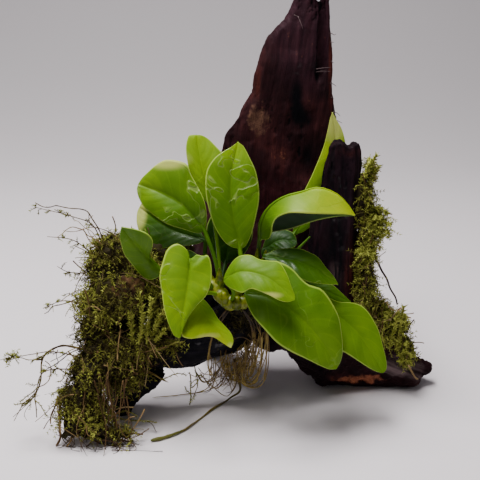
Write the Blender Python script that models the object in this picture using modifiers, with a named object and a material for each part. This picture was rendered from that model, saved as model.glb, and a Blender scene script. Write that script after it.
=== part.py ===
# An anubias with mosses, grown on a branching piece of driftwood.
# The wood stands on its right foot, its left leg and a short root behind.
# Lists of places and sizes are in millimetres, in a layout whose x = 0 is the middle of the view
# and whose floor is z = 0; LAYOUT_SHIFT moves the layout's bottom centre to the origin.

import math

import bmesh
import bpy
import numpy as np
from mathutils import Vector, noise

MM = 0.001

# Driving dimensions, in millimetres
LAYOUT_SHIFT = (4.6, 0.6)
GAP = 0.45
WOOD_SQUARENESS = 0.78
RIDGES_ROUND = 2.3
RIDGES_ALONG = 0.02
KNOTS_ALONG = 0.09
THIN_WOOD = 6.0
LEAF_THICKNESS = 0.9
STALK_RADIUS = 1.15
RHIZOME_RADIUS = 3.4
ROOT_RADIUS = 0.6
YOUNG_LEAF_RADIUS = 1.3
RUNNER_RADIUS = 1.5
TWIG_RADIUS = 0.6

# Stations of each wood limb along its axis: place, low side, high side, front, back
SPIKE_STATIONS = [
    (34, -6, 40, 4, 24),
    (40, -22, 54, 0, 28),
    (48, -26, 57, 1, 30),
    (60, -25, 57, 5, 32),
    (78, -22, 56, 11, 34),
    (94, -20, 56, 16, 35),
    (108, -15, 54, 19, 35),
    (119, -11.5, 51.5, 20.5, 35),
    (126, -7.5, 50, 21.5, 35),
    (133, -2.5, 48.5, 22, 35),
    (140, 1.5, 46.5, 22, 36),
    (148, 5, 45, 22.5, 36),
    (156, 7.5, 45, 23, 36),
    (163, 9.5, 45, 23, 36),
    (169, 11.5, 44.5, 24, 36),
    (174, 13.5, 44, 24, 35.5),
    (178, 17, 43.5, 24, 35),
    (183, 22, 43, 25, 35),
    (188, 24.5, 42.5, 25.5, 35),
    (194, 26.5, 42.5, 26, 35),
    (199, 28, 42, 27, 34),
    (203, 29, 40, 28, 33),
    (207, 31, 35, 29, 32),
]
STUB_STATIONS = [
    (34, 38, 58, -5, 8),
    (50, 36, 58, -8, 8),
    (66, 33.5, 56, -8, 9),
    (80, 33, 56, -7, 8),
    (93, 34.5, 56, -6, 8),
    (105, 37.5, 56, -5, 8),
    (116, 39.5, 56, -5, 8),
    (124, 40.5, 56, -4, 7),
    (129, 41, 55.5, -3, 6),
]
FOOT_STATIONS = [
    (16, 31, 42, -10, 16),
    (20, 25, 46, -11, 22),
    (26, 19, 47, -10, 26),
    (32, 9, 47, -9, 28),
    (42, 0, 47, -7, 30),
    (52, -2, 46, -5, 31),
    (62, -2, 43, -4, 31),
    (73, -2, 34, -3, 29),
    (82, -2, 24, -2, 25),
    (88, -1, 16, -1, 18),
    (92, 4, 13, 1, 14),
    (98.5, 7, 11, 4, 9),
]
ARM_STATIONS = [
    (15, 37, 55, -11, 14),
    (10, 34, 58, -14, 12),
    (4, 31, 59, -17, 8),
    (-3, 27, 58, -19, 2),
    (-13, 26, 50, -21, -3),
    (-22, 23, 41, -23, -8),
    (-32, 23, 37, -25, -9),
    (-40, 25, 36, -27, -10),
    (-52, 27, 38, -27, -12),
]
LEG_STATIONS = [
    (-2, -60, -53, -26, -15),
    (4, -62, -52, -28, -14),
    (11, -64, -46, -30, -12),
    (16, -64, -39, -30, -11),
    (20, -65, -36, -30, -10),
    (26, -65, -46, -30, -9),
    (42, -66, -45, -30, -9),
    (58, -65, -46, -29, -10),
    (70, -62, -48, -27, -13),
    (76, -59, -51, -24, -16),
]
BACK_ROOT_STATIONS = [
    (18, -16, 12, 24, 46),
    (26, -20, 8, 14, 44),
    (34, -25, -1, 5, 36),
    (42, -29, -7, -2, 25),
    (50, -32, -13, -2, 14),
    (56, -30, -18, -1, 6),
]

# Each limb's axis, its stations, the sides of its rings, the height of its ridges and its noise seed
LIMBS = {
    "driftwood_spike": ("z", SPIKE_STATIONS, 16, 0.9, 1.0),
    "driftwood_stub": ("z", STUB_STATIONS, 12, 0.9, 5.0),
    "driftwood_right_foot": ("x", FOOT_STATIONS, 12, 1.6, 9.0),
    "driftwood_back_root": ("y", BACK_ROOT_STATIONS, 10, 1.2, 21.0),
    "driftwood_left_leg": ("z", LEG_STATIONS, 10, 1.2, 17.0),
    "driftwood_left_arm": ("x", ARM_STATIONS, 10, 1.2, 13.0),
}

# The splits that leave two prongs at the spike's top: centre, size, turn about y in degrees
SPIKE_SPLITS = [
    ((37.6, 30, 202), (2.6, 30, 30), 4),
    ((39.8, 23.5, 175), (4.2, 6, 34), -3),
    ((38.0, 21.5, 150), (3.0, 4, 7), 10),
]

RHIZOME_PATH = [
    (-17, -19, 71), (-11, -26, 67), (-5, -29, 62), (3, -28, 62.5),
    (10, -23, 66), (14, -16, 70), (15, -10, 74),
]

# A leaf: its stalk from the rhizome to the blade, its midrib from base to tip, and the
# left and right margins of its blade between them, seen on its upper side
LEAVES = {
    "leaf_a": dict(
        stalk=[(-9, -25, 67), (-10, -17, 82), (-12.5, -14, 102.5)],
        rib=[(-12.5, -14, 102.5), (-17, -9, 119), (-20, -4, 134)],
        left=[(-16, -13.5, 106), (-19.5, -12, 112), (-22.5, -10.5, 117.5), (-24, -8.5, 123.5),
              (-24.5, -6.5, 129), (-23.5, -5, 133.5), (-22, -4.5, 134)],
        right=[(-9.5, -13.5, 104), (-7, -12, 110.5), (-5.5, -10, 118.5), (-7, -8.5, 125),
               (-10.5, -7, 129), (-14.5, -5, 132.5), (-17.5, -4.5, 134)]),
    "leaf_b": dict(
        stalk=[(-1, -28, 62), (1, -27, 75), (0, -22, 85.5)],
        rib=[(0, -22, 85.5), (-3, -18.5, 100.5), (-4, -14, 115.5), (-1, -9, 132)],
        left=[(-3.5, -22.5, 86.5), (-7, -22.5, 89), (-11, -21.5, 95), (-14, -20, 103.5),
              (-15.5, -18, 112), (-15, -15.5, 120), (-11.5, -13.5, 125.5), (-7, -11.5, 128.5),
              (-4, -10.5, 130)],
        right=[(2.5, -22, 87), (5, -21.5, 92), (7, -20.5, 99.5), (8.5, -18.5, 107), (8.5, -16.5, 113),
               (7, -14, 120), (4.5, -12, 125), (2, -10, 129.5), (0.5, -9.5, 131)]),
    "leaf_c": dict(
        stalk=[(-9, -27, 66), (-11, -25, 80), (-16, -20, 93.5)],
        rib=[(-16, -20, 93.5), (-24.5, -17, 103.5), (-35, -13, 109), (-46.5, -10, 112.5)],
        left=[(-19.5, -20.5, 92.5), (-26, -20.5, 94.5), (-32.5, -20, 96.5), (-38.5, -17.5, 99.5),
              (-43.5, -15, 103), (-46, -12.5, 106.5), (-47, -11, 110)],
        right=[(-15, -19, 99.5), (-16, -18, 107), (-19, -16, 113), (-22, -14, 118), (-24, -12.5, 122.5),
               (-28.5, -11.5, 124), (-33.5, -10.5, 124), (-38, -10, 121.5), (-42, -10, 118),
               (-44.5, -10, 115.5)]),
    "leaf_d": dict(
        stalk=[(-15.5, -19, 70.5), (-16.5, -14, 77), (-16, -11, 85.5)],
        rib=[(-16, -11, 85.5), (-32, -5, 88.5), (-47.5, -1, 98.5)],
        left=[(-20.5, -12, 84), (-26, -12, 83), (-32.5, -11.5, 82), (-37.5, -11, 81.5),
              (-42.5, -10, 82.5), (-46.5, -7, 86.5), (-48.5, -4.5, 91.5), (-48.5, -2, 96)],
        right=[(-21, -5.5, 91.5), (-28.5, -2, 96), (-36, -1.5, 100.5), (-42.5, -1, 102),
               (-45.5, -0.5, 101.5)]),
    "leaf_e": dict(
        stalk=[(-15, -22, 70), (-25, -28, 75), (-35, -31, 78)],
        rib=[(-35, -31, 78), (-42.5, -33, 88), (-51.5, -35, 100.5)],
        left=[(-37.5, -31, 75), (-41.5, -31.5, 74.5), (-45, -32, 77.5), (-48.5, -33, 83),
              (-51, -33.5, 87.5), (-52, -34, 92), (-52.5, -34.5, 96.5)],
        right=[(-37.5, -31, 80), (-39.5, -31.5, 83), (-40, -33.5, 87), (-38.5, -35.5, 91), (-38, -37, 95),
               (-40.5, -38, 98.5), (-45, -37, 100), (-49, -36, 100.5)]),
    "leaf_f": dict(
        stalk=[(-12, -26, 67), (-17, -34, 78), (-22, -38, 87)],
        rib=[(-22, -38, 87), (-22.5, -43, 76.5), (-24.5, -48, 66), (-26, -52, 55.5)],
        left=[(-19.5, -37.5, 88.5), (-16, -38, 88), (-14, -38.5, 88.5), (-12.5, -40, 84.5),
              (-12.5, -43, 78.5), (-14.5, -45.5, 73), (-18.5, -47, 69), (-22.5, -49, 64),
              (-25, -51, 58.5)],
        right=[(-23.5, -36.5, 90.5), (-27.5, -36, 93), (-31.5, -37, 91), (-33.5, -39.5, 86.5),
               (-35, -42.5, 80.5), (-34, -45, 74.5), (-33, -48, 68), (-31, -50.5, 61.5),
               (-28.5, -52, 56.5)]),
    "leaf_g": dict(
        stalk=[(-9, -28, 65), (-14, -32, 68), (-19.5, -35, 67.5)],
        rib=[(-19.5, -35, 67.5), (-16, -39, 61), (-10.5, -43, 55), (-4, -46, 47.5)],
        left=[(-16, -35.5, 66), (-12.5, -38, 62.5), (-10, -40, 59), (-6.5, -42, 56), (-4, -43, 53),
              (-3, -44.5, 50)],
        right=[(-23, -40, 65), (-25.5, -45.5, 61), (-25.5, -50, 56), (-22.5, -50, 54),
               (-18.5, -48.5, 53.5), (-15, -46.5, 53.5), (-11.5, -45.5, 52.5), (-8, -45.5, 50)]),
    "leaf_h": dict(
        stalk=[(-4, -29, 62), (-3, -35, 70), (-7, -38, 77)],
        rib=[(-7, -38, 77), (0, -41, 82), (9.5, -44, 81.5), (17.5, -47, 77), (23.5, -49, 72)],
        left=[(-6, -36, 79.5), (-3, -35, 84), (0, -34.5, 86.5), (4.5, -35.5, 87.5), (8.5, -38, 86.5),
              (13, -38.5, 86), (17, -39, 85.5), (20, -42, 81.5), (22, -45.5, 77), (23.5, -47.5, 73.5)],
        right=[(-6, -40.5, 75.5), (-3, -44.5, 75), (1, -48, 75), (4.5, -47.5, 76.5), (8.5, -49, 76),
               (13, -50, 74.5), (17, -50.5, 72.5), (20.5, -50, 71.5)]),
    "leaf_i": dict(
        stalk=[(11, -22, 67), (8.5, -15.5, 78), (9, -18, 88.5)],
        rib=[(9, -18, 88.5), (9.5, -18.5, 96), (13, -19, 103.5), (19.5, -20, 109), (27.5, -21.5, 112),
             (34.5, -23, 114.5), (42, -24.5, 112.5), (47, -26, 108.5), (51, -27, 103)],
        left=[(13, -19.5, 89.5), (14.5, -22, 94), (16, -25, 100.5), (20.5, -27, 104), (26, -28.5, 105),
              (32.5, -29.5, 105), (39.5, -29.5, 104.5), (46.5, -28.5, 104)],
        right=[(11.5, -17.5, 89.5), (14.5, -16.5, 91.5), (19, -16.5, 92.5), (24.5, -17, 94),
               (30.5, -18.5, 96.5), (37, -20.5, 99), (44, -23, 101.5), (48, -25.5, 102.5)]),
    "leaf_j": dict(
        stalk=[(15, -11, 73.5), (18, -2, 76), (26, 9.5, 80.5)],
        rib=[(26, 9.5, 80.5), (38, 13, 100.5), (45.5, 16, 122), (44, 17.5, 140)],
        left=[(27, 11.5, 90.5), (30.5, 13, 100.5), (34.5, 14.5, 109), (38, 15.5, 117.5),
              (40.5, 16.5, 124.5), (42, 17, 131.5), (43, 17.5, 137)],
        right=[(33.5, 9.5, 84.5), (41.5, 11.5, 95.5), (47.5, 13, 107), (50.5, 14.5, 117),
               (50.5, 15.5, 125.5), (48.5, 16.5, 132.5), (46, 17, 136.5)]),
    "leaf_k": dict(
        stalk=[(13.5, -18, 69), (12, -13, 75), (10.5, -10, 80)],
        rib=[(10.5, -10, 80), (18.5, -10, 85), (26.5, -12, 84.5)],
        left=[(11.5, -8, 83), (13.5, -6.5, 86.5), (17.5, -5.5, 88.5), (21, -6, 89), (24.5, -7.5, 88),
              (26, -9.5, 86)],
        right=[(14, -12.5, 80), (18.5, -14.5, 81.5), (22.5, -15, 82.5), (25.5, -13.5, 83.5)]),
    "leaf_l": dict(
        stalk=[(13, -20, 68), (15, -20, 74), (10.5, -21, 81.5)],
        rib=[(10.5, -21, 81.5), (23, -23, 80.5), (34.5, -25.5, 76.5), (44.5, -28, 70.5)],
        left=[(13, -20, 82.5), (17, -19.5, 84), (22, -19, 84.5), (27, -19, 84.5), (31.5, -20, 83),
              (35.5, -21.5, 81), (39, -24, 77), (42.5, -26, 73.5)],
        right=[(13.5, -24.5, 79), (19, -27.5, 77), (25, -30, 75), (30, -30.5, 73), (35, -30.5, 72),
               (40.5, -29.5, 71)]),
    "leaf_m": dict(
        stalk=[(5, -27.5, 63), (6, -33, 69), (2, -34, 69)],
        rib=[(2, -34, 69), (13.5, -37, 67.5), (26.5, -41, 59.5), (37, -44, 48), (43, -46, 37)],
        left=[(4, -31.5, 73.5), (9, -29.5, 79), (15, -28.5, 82), (20, -29.5, 81), (24, -30.5, 78.5),
              (27.5, -33, 75), (31, -34, 72.5), (36, -34.5, 71), (40, -36, 66.5), (44, -38.5, 59.5),
              (45.5, -41, 52), (46, -43, 45), (45, -44.5, 40)],
        right=[(3, -37.5, 65.5), (6, -42.5, 61), (10.5, -46.5, 57), (16, -49.5, 52), (22, -50, 48),
               (28.5, -49, 44), (34.5, -48.5, 40.5), (39.5, -47, 37.5)]),
    "leaf_n": dict(
        stalk=[(9, -24, 65), (18, -24, 68), (23.5, -24, 65)],
        rib=[(23.5, -24, 65), (39, -26.5, 58), (54.5, -31, 46.5), (66, -36, 29.5)],
        left=[(32.5, -22.5, 65), (39.5, -23.5, 62.5), (45.5, -24.5, 60), (51, -24, 59.5), (56, -24, 58),
              (60, -25.5, 54.5), (64, -28, 48), (66, -31, 41), (67.5, -33.5, 34.5), (67.5, -35, 31)],
        right=[(29, -30.5, 58), (36.5, -36, 50), (42.5, -38, 44), (48, -38.5, 41), (53.5, -38, 37),
               (59, -37.5, 33), (63, -36.5, 30.5)]),
    "leaf_o": dict(
        stalk=[(10.5, -22, 66), (18, -18, 70), (22, -14, 68.5)],
        rib=[(22, -14, 68.5), (35.5, -17.5, 64.5), (51.5, -22, 59)],
        left=[(26, -12.5, 69.5), (32, -13, 68.5), (38, -15, 66.5), (43.5, -16.5, 65), (47.5, -19, 62)],
        right=[(25.5, -17.5, 65.5), (31, -21.5, 62.5), (37.5, -23, 60.5), (44, -23.5, 59),
               (48.5, -23, 58.5)]),
    "leaf_p": dict(
        stalk=[(-8, -27, 64), (-8, -15, 69), (-7, -9, 73)],
        rib=[(-7, -9, 73), (-5, -3, 86), (-3, 3, 100)],
        left=[(-13, -8, 77), (-15.5, -5.5, 83), (-16, -3.5, 88.5), (-14, -1, 93.5), (-9.5, 1.5, 98.5)],
        right=[(-0.5, -8.5, 75), (4, -6.5, 80), (6, -4.5, 85.5), (5.5, -2, 91), (3, 1, 96.5)]),
    "leaf_q": dict(
        stalk=[(-12.5, -24, 68.5), (-18, -21, 73), (-20, -19, 75)],
        rib=[(-20, -19, 75), (-24, -19, 79), (-30, -20, 81)],
        left=[(-22.5, -20, 74.5), (-25, -21, 75.5), (-25.5, -22, 76), (-26.5, -22.5, 77.5),
              (-29, -22, 79)],
        right=[(-19, -18, 77.5), (-19.5, -17.5, 80.5), (-23, -16.5, 82.5), (-26, -17, 83),
               (-28.5, -18, 82.5)]),
}
BLADE_PLACES = (0.0, 0.07, 0.2, 0.35, 0.5, 0.65, 0.8, 0.92, 1.0)
STALK_PLACES = (0.0, 0.35, 0.7)
RING_POINTS = 8
LEAST_HALF_WIDTH = 0.3
STALK_BLENDS_BY = 0.12

YOUNG_LEAF_PATH = [(14, -15, 71), (20, -12, 74), (26, -9, 79), (33, -7, 86)]

ROOT_PATHS = [
    [(9.5, -23.5, 61), (11.5, -21, 53), (13, -20, 40), (13, -20, 26), (11, -18, 15), (5, -17, 11),
     (0, -17, 15), (-1, -19.5, 24)],
    [(5, -26.5, 58), (8, -23, 50), (10, -21.5, 40), (10, -21, 28), (8, -20, 17), (4, -19, 14),
     (1.5, -19, 18), (2, -18, 27)],
    [(1, -28, 58), (5, -25, 50), (7, -22.5, 38), (6, -21, 28), (4, -20, 21)],
    [(-6, -20.5, 25), (-8, -18, 16), (-12, -17, 11), (-17, -18, 16), (-19, -19, 21)],
    [(-10, -18, 23), (-13, -15, 15), (-18, -15, 13), (-22, -16, 20)],
    [(8, -16, 28), (6, -14, 18), (2, -13, 13), (-4, -13, 14), (-7, -14, 24)],
    [(-6, -28, 57.5), (-11, -27, 48), (-14, -26, 38), (-15, -26.5, 30), (-14, -25, 24), (-13, -20, 20)],
    [(-44, -30.5, 27), (-39, -29.5, 24), (-34.5, -26, 19)],
]
FLOOR_ROOT_PATHS = [
    [(-3, -14, 25), (-1, -9, 12), (0, -6, 3), (-6, -11, 0.8), (-17, -25, 0.8), (-24, -36, 0.8),
     (-31, -43, 0.8), (-41, -48, 0.8)],
    [(-12, -11, 14), (-15, -4, 3), (-25, -5, 0.8), (-34, -7, 0.8), (-44, -9, 0.8)],
]

# Lumps of moss: centre and half sizes
MOSS_CROWN_LUMPS = [
    ((-58, -22, 84), (11, 11, 11)),
    ((-65, -22, 76), (8, 10, 11)),
    ((-48, -20, 80), (9, 10, 10)),
    ((-55, -28, 68), (15, 11, 12)),
    ((-64, -30, 62), (11, 11, 11)),
    ((-46, -26, 62), (9, 9, 11)),
    ((-57, -12, 66), (13, 9, 16)),
    ((-41, -17, 67), (10, 9, 13)),
    ((-37, -17, 58), (9, 8, 9)),
]
MOSS_SKIRT_LUMPS = [
    ((-60, -35, 42), (14, 11, 11)),
    ((-46, -32, 46), (11, 8, 9)),
    ((-68, -38, 32), (12, 12, 11)),
    ((-56, -34, 30), (12, 8, 9)),
    ((-76, -46, 20), (9, 8, 11)),
    ((-68, -45, 14), (10, 9, 13)),
    ((-80, -50, 9), (6, 6, 12)),
    ((-56, -50, 5), (10, 5, 7)),
    ((-38, -28, 41), (9, 6, 5)),
    ((-68, -52, 6), (14, 5, 9)),
]
MOSS_RIGHT_LUMPS = [
    ((61, 1, 116), (4, 5, 7)),
    ((60, 0, 104), (4, 6, 9)),
    ((63, 0, 90), (7, 7, 10)),
    ((61, -2, 76), (6, 8, 10)),
    ((61, -3, 60), (7, 9, 12)),
    ((69, -1, 44), (8, 9, 8)),
    ((79, 1, 35), (7, 8, 10)),
    ((84, 2, 22), (5, 7, 9)),
]
MOSS_GRAIN = 1.3
MOSS_ROUGHNESS = 0.12
MOSS_ROUGHNESS_SCALE = 2.2
# How many triangles each mat is thinned to before the wood is cut out of it
MOSS_TRIANGLES = {"moss_left_crown": 440, "moss_left_skirt": 560, "moss_right": 420}

RUNNER_PATHS = [
    [(-64, -26, 92), (-66, -27, 99), (-76, -29, 104), (-90, -30, 108)],
    [(-69, -26, 86), (-74, -29, 92), (-85, -32, 95)],
    [(-73, -34, 63), (-79, -36, 66), (-88, -38, 63)],
    [(-77, -44, 43), (-84, -45, 45), (-94, -46, 44), (-107.5, -47, 42)],
    [(-79, -46, 36), (-88, -47, 36), (-93, -48, 24), (-103, -49, 14)],
    [(-73, -28, 76), (-78, -29, 77), (-82, -30, 80)],
    [(-22, -18, 21), (-20.5, -19, 14), (-23, -20, 7)],
]
TWIG_PATH = [(66, 6, 70), (70, 4, 64), (73, 2, 58), (76.5, 1, 51), (78, 1, 47.5)]


def make_collections():
    parts = bpy.data.collections.new("anubias_on_driftwood")
    cutters = bpy.data.collections.new("cutters")
    bpy.context.scene.collection.children.link(parts)
    bpy.context.scene.collection.children.link(cutters)
    return parts, cutters


def surface(name, colour, roughness):
    material = bpy.data.materials.new(name)
    material.use_nodes = True
    shader = material.node_tree.nodes["Principled BSDF"]
    shader.inputs["Base Color"].default_value = (*colour, 1.0)
    shader.inputs["Roughness"].default_value = roughness
    shader.inputs["Metallic"].default_value = 0.0
    return material


def place(item, collection):
    item.location = Vector((LAYOUT_SHIFT[0], LAYOUT_SHIFT[1], 0.0)) * MM
    collection.objects.link(item)
    return item


def finish_mesh(name, shape, collection, material):
    bmesh.ops.recalc_face_normals(shape, faces=shape.faces)
    bmesh.ops.triangulate(shape, faces=shape.faces)
    mesh = bpy.data.meshes.new(name)
    shape.to_mesh(mesh)
    shape.free()
    mesh.materials.append(material)
    mesh.shade_smooth()
    mesh.set_sharp_from_angle(angle=math.radians(50))
    return place(bpy.data.objects.new(name, mesh), collection)


def loft(name, rings, collection, material):
    # Bridges rings of equal size, in layout millimetres, and closes both ends
    shape = bmesh.new()
    loops = [[shape.verts.new(Vector(point) * MM) for point in ring] for ring in rings]
    for lower, upper in zip(loops, loops[1:]):
        for index in range(len(lower)):
            after = (index + 1) % len(lower)
            shape.faces.new((lower[index], lower[after], upper[after], upper[index]))
    shape.faces.new(reversed(loops[0]))
    shape.faces.new(loops[-1])
    return finish_mesh(name, shape, collection, material)


def smooth_path(points, places):
    # Points on a smooth curve through the given ones, at places from 0 to 1 along it
    points = np.array(points, dtype=float)
    ends = [2 * points[0] - points[1], *points, 2 * points[-1] - points[-2]]
    steps = np.linalg.norm(np.diff(points, axis=0), axis=1)
    reach = np.concatenate([[0.0], np.cumsum(steps)]) / steps.sum()
    result = []
    for value in places:
        span = min(int(np.searchsorted(reach, value, side="right")) - 1, len(points) - 2)
        part = (value - reach[span]) / (reach[span + 1] - reach[span])
        before, start, end, after = ends[span:span + 4]
        result.append(0.5 * (
            2 * start
            + (end - before) * part
            + (2 * before - 5 * start + 4 * end - after) * part ** 2
            + (3 * start - before - 3 * end + after) * part ** 3))
    return np.array(result)


def tube(name, path, rows, radius, collection, material, taper=1.0, sides=6):
    # A round stem through the path's points, with a bevel that shrinks towards its end
    places = np.linspace(0, 1, rows)
    curve = bpy.data.curves.new(name, "CURVE")
    curve.dimensions = "3D"
    curve.bevel_depth = MM
    curve.bevel_resolution = (sides - 4) // 2
    curve.use_fill_caps = True
    spline = curve.splines.new("POLY")
    spline.points.add(rows - 1)
    for point, spot, value in zip(spline.points, smooth_path(path, places), places):
        point.co = (*(spot * MM), 1.0)
        point.radius = radius * (1 + (taper - 1) * value)
    item = place(bpy.data.objects.new(name, curve), collection)
    return as_mesh(item, collection, material)


def as_mesh(item, collection, material):
    bpy.context.view_layer.update()
    mesh = bpy.data.meshes.new_from_object(item.evaluated_get(bpy.context.evaluated_depsgraph_get()))
    shape = bmesh.new()
    shape.from_mesh(mesh)
    bmesh.ops.remove_doubles(shape, verts=shape.verts, dist=0.00001)
    name = item.name
    bpy.data.objects.remove(item)
    mesh.clear_geometry()
    return finish_mesh(name, shape, collection, material)


def grown(item, amount, cutters):
    # A cutter: the item's shape pushed outwards, so what it cuts keeps a gap
    copy = item.copy()
    copy.data = item.data.copy()
    copy.name = item.name + "_cutter"
    cutters.objects.link(copy)
    swell = copy.modifiers.new("swell", "DISPLACE")
    swell.strength = amount * MM
    swell.mid_level = 0.0
    hide_cutter(copy)
    return copy


def hide_cutter(item):
    item.hide_render = True
    item.display_type = "WIRE"


def cut(item, cutter):
    modifier = item.modifiers.new("cut by " + cutter.name, "BOOLEAN")
    modifier.operation = "DIFFERENCE"
    modifier.solver = "EXACT"
    modifier.object = cutter


def limb(name, axis, stations, sides, ridge, seed, collection, material):
    # A wood limb: a boxy ring at each station along x, y or z, ridged along the grain
    rings = []
    for along, low, high, front, back in sorted(stations):
        middle = np.array([(low + high) / 2, (front + back) / 2])
        half = np.array([(high - low) / 2, (back - front) / 2])
        ring = []
        for index in range(sides):
            angle = 2 * math.pi * index / sides
            turn = np.array([math.cos(angle), math.sin(angle)])
            corner = np.sign(turn) * np.abs(turn) ** WOOD_SQUARENESS
            grain = noise.noise(Vector((*(turn * RIDGES_ROUND), along * RIDGES_ALONG + seed)))
            knots = noise.noise(Vector((*turn, along * KNOTS_ALONG + seed * 3)))
            swell = 1 + ridge * (grain + 0.8 * knots) / max(THIN_WOOD, half.min())
            first, second = middle + half * corner * swell
            ring.append(ring_point(axis, along, first, second))
        rings.append(ring)
    return loft(name, rings, collection, material)


def ring_point(axis, along, first, second):
    if axis == "x":
        spot = (along, second, first)
    elif axis == "y":
        spot = (first, along, second)
    else:
        spot = (first, second, along)
    return (spot[0], spot[1], max(0.0, spot[2]))


def splinter(item, index, centre, size, turn, cutters):
    bpy.ops.mesh.primitive_cube_add(size=1)
    cutter = bpy.context.object
    cutter.name = f"split_cutter_{index}"
    cutter.scale = Vector(size) * MM
    cutter.rotation_euler = (0, math.radians(turn), 0)
    cutter.location = (Vector(centre) + Vector((*LAYOUT_SHIFT, 0))) * MM
    for collection in cutter.users_collection:
        collection.objects.unlink(cutter)
    cutters.objects.link(cutter)
    hide_cutter(cutter)
    cut(item, cutter)


def applied(item):
    # Replaces the item's mesh by its evaluated one, so its shape can be grown into a cutter
    bpy.context.view_layer.update()
    evaluated = item.evaluated_get(bpy.context.evaluated_depsgraph_get())
    mesh = bpy.data.meshes.new_from_object(evaluated)
    item.modifiers.clear()
    item.data = mesh
    return item


def make_driftwood(parts, cutters):
    dark = surface("wet_dark_wood", (0.028, 0.014, 0.012), 0.35)
    limbs = {name: limb(name, *shape, parts, dark) for name, shape in LIMBS.items()}
    for index, (centre, size, turn) in enumerate(SPIKE_SPLITS):
        splinter(limbs["driftwood_spike"], index, centre, size, turn, cutters)
    cut_in_turn(limbs.values(), cutters)


def cut_in_turn(items, cutters):
    # Each piece gives way to those before it
    shapes = []
    for item in items:
        for shape in shapes:
            if boxes_meet(item, shape):
                cut(item, shape)
        applied(item)
        shapes.append(grown(item, GAP, cutters))


def boxes_meet(first, second):
    bpy.context.view_layer.update()
    boxes = []
    for item in (first, second):
        corners = np.array([item.matrix_world @ Vector(corner) for corner in item.bound_box])
        boxes.append((corners.min(axis=0), corners.max(axis=0)))
    return bool(np.all(boxes[0][0] < boxes[1][1]) and np.all(boxes[1][0] < boxes[0][1]))


def make_leaf(name, leaf, collection, material):
    rib = smooth_path(leaf["rib"], BLADE_PLACES)
    left, right = [
        smooth_path([leaf["rib"][0], *leaf[side], leaf["rib"][-1]], BLADE_PLACES)
        for side in ("left", "right")]
    # The way across the blade and the way its upper side faces, at each place
    across = right - left
    across[0], across[-1] = across[1], across[-2]
    across /= np.linalg.norm(across, axis=1)[:, None]
    up = np.cross(across, np.gradient(rib, axis=0))
    up /= np.linalg.norm(up, axis=1)[:, None]
    rings = stalk_rings(smooth_path(leaf["stalk"], STALK_PLACES), up[0])
    for index, place in enumerate(BLADE_PLACES):
        least = STALK_RADIUS * (1 - place) + LEAST_HALF_WIDTH
        to_left = at_least(left[index] - rib[index], -across[index], least)
        to_right = at_least(right[index] - rib[index], across[index], least)
        thick = max(STALK_RADIUS * (1 - place / STALK_BLENDS_BY), LEAF_THICKNESS / 2 * (1 - 0.5 * place))
        ring = []
        for turn in range(RING_POINTS):
            angle = 2 * math.pi * turn / RING_POINTS
            margin = to_right if math.cos(angle) > 0 else to_left
            ring.append(rib[index] + margin * abs(math.cos(angle)) + up[index] * thick * math.sin(angle))
        rings.append(ring)
    return loft(name, rings, collection, material)


def at_least(reach, direction, least):
    # The reach, pushed out where it falls short in this direction
    return reach + direction * max(0.0, least - np.dot(reach, direction))


def stalk_rings(spots, blade_up):
    rings = []
    along = np.gradient(spots, axis=0)
    for spot, direction in zip(spots, along):
        direction = direction / np.linalg.norm(direction)
        up = blade_up - np.dot(blade_up, direction) * direction
        up /= np.linalg.norm(up)
        side = np.cross(direction, up)
        ring = []
        for turn in range(RING_POINTS):
            angle = 2 * math.pi * turn / RING_POINTS
            ring.append(spot + STALK_RADIUS * (side * math.cos(angle) + up * math.sin(angle)))
        rings.append(ring)
    return rings


def make_plant(parts, cutters):
    stem_green = surface("rhizome_green", (0.30, 0.36, 0.03), 0.35)
    leaf_green = surface("leaf_green", (0.16, 0.36, 0.01), 0.28)
    root_tan = surface("root_tan", (0.34, 0.24, 0.10), 0.5)
    rhizome = tube("rhizome", RHIZOME_PATH, 12, RHIZOME_RADIUS, parts, stem_green, taper=0.9, sides=10)
    collar = grown(rhizome, GAP, cutters)
    for name, leaf in LEAVES.items():
        cut(make_leaf(name, leaf, parts, leaf_green), collar)
    spear = tube("young_leaf", YOUNG_LEAF_PATH, 8, YOUNG_LEAF_RADIUS, parts, leaf_green, taper=0.35)
    cut(spear, collar)
    for index, path in enumerate(ROOT_PATHS):
        tube(f"root_{index + 1}", path, len(path) + 2, ROOT_RADIUS, parts, root_tan, taper=0.8)
    for index, path in enumerate(FLOOR_ROOT_PATHS):
        tube(f"floor_root_{index + 1}", path, len(path) + 2, ROOT_RADIUS, parts, root_tan, taper=0.9)


def make_moss_mat(name, lumps, seed, cut_shapes, parts, material):
    shape = bmesh.new()
    for centre, half_sizes in lumps:
        ball = bmesh.ops.create_icosphere(shape, subdivisions=3, radius=1.0)
        for vertex in ball["verts"]:
            rough = 1 + MOSS_ROUGHNESS * noise.noise(
                vertex.co * MOSS_ROUGHNESS_SCALE + Vector((seed, centre[0], centre[2])))
            spot = Vector(centre) + Vector(half_sizes) * vertex.co * rough
            vertex.co = Vector((spot.x, spot.y, max(0.0, spot.z))) * MM
    item = finish_mesh(name, shape, parts, material)
    blend = item.modifiers.new("blend", "REMESH")
    blend.mode = "VOXEL"
    blend.voxel_size = MOSS_GRAIN * MM
    blend.use_smooth_shade = True
    thin_out(item, MOSS_TRIANGLES[name])
    flatten_floor(applied(item))
    for shape in cut_shapes:
        if boxes_meet(item, shape):
            cut(item, shape)
    return applied(item)


def thin_out(item, triangles):
    bpy.context.view_layer.update()
    evaluated = item.evaluated_get(bpy.context.evaluated_depsgraph_get())
    count = 2 * len(evaluated.data.polygons)
    reduce = item.modifiers.new("reduce", "DECIMATE")
    reduce.ratio = triangles / count
    reduce.use_collapse_triangulate = True


def flatten_floor(item):
    for vertex in item.data.vertices:
        vertex.co.z = max(0.0, vertex.co.z)


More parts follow.
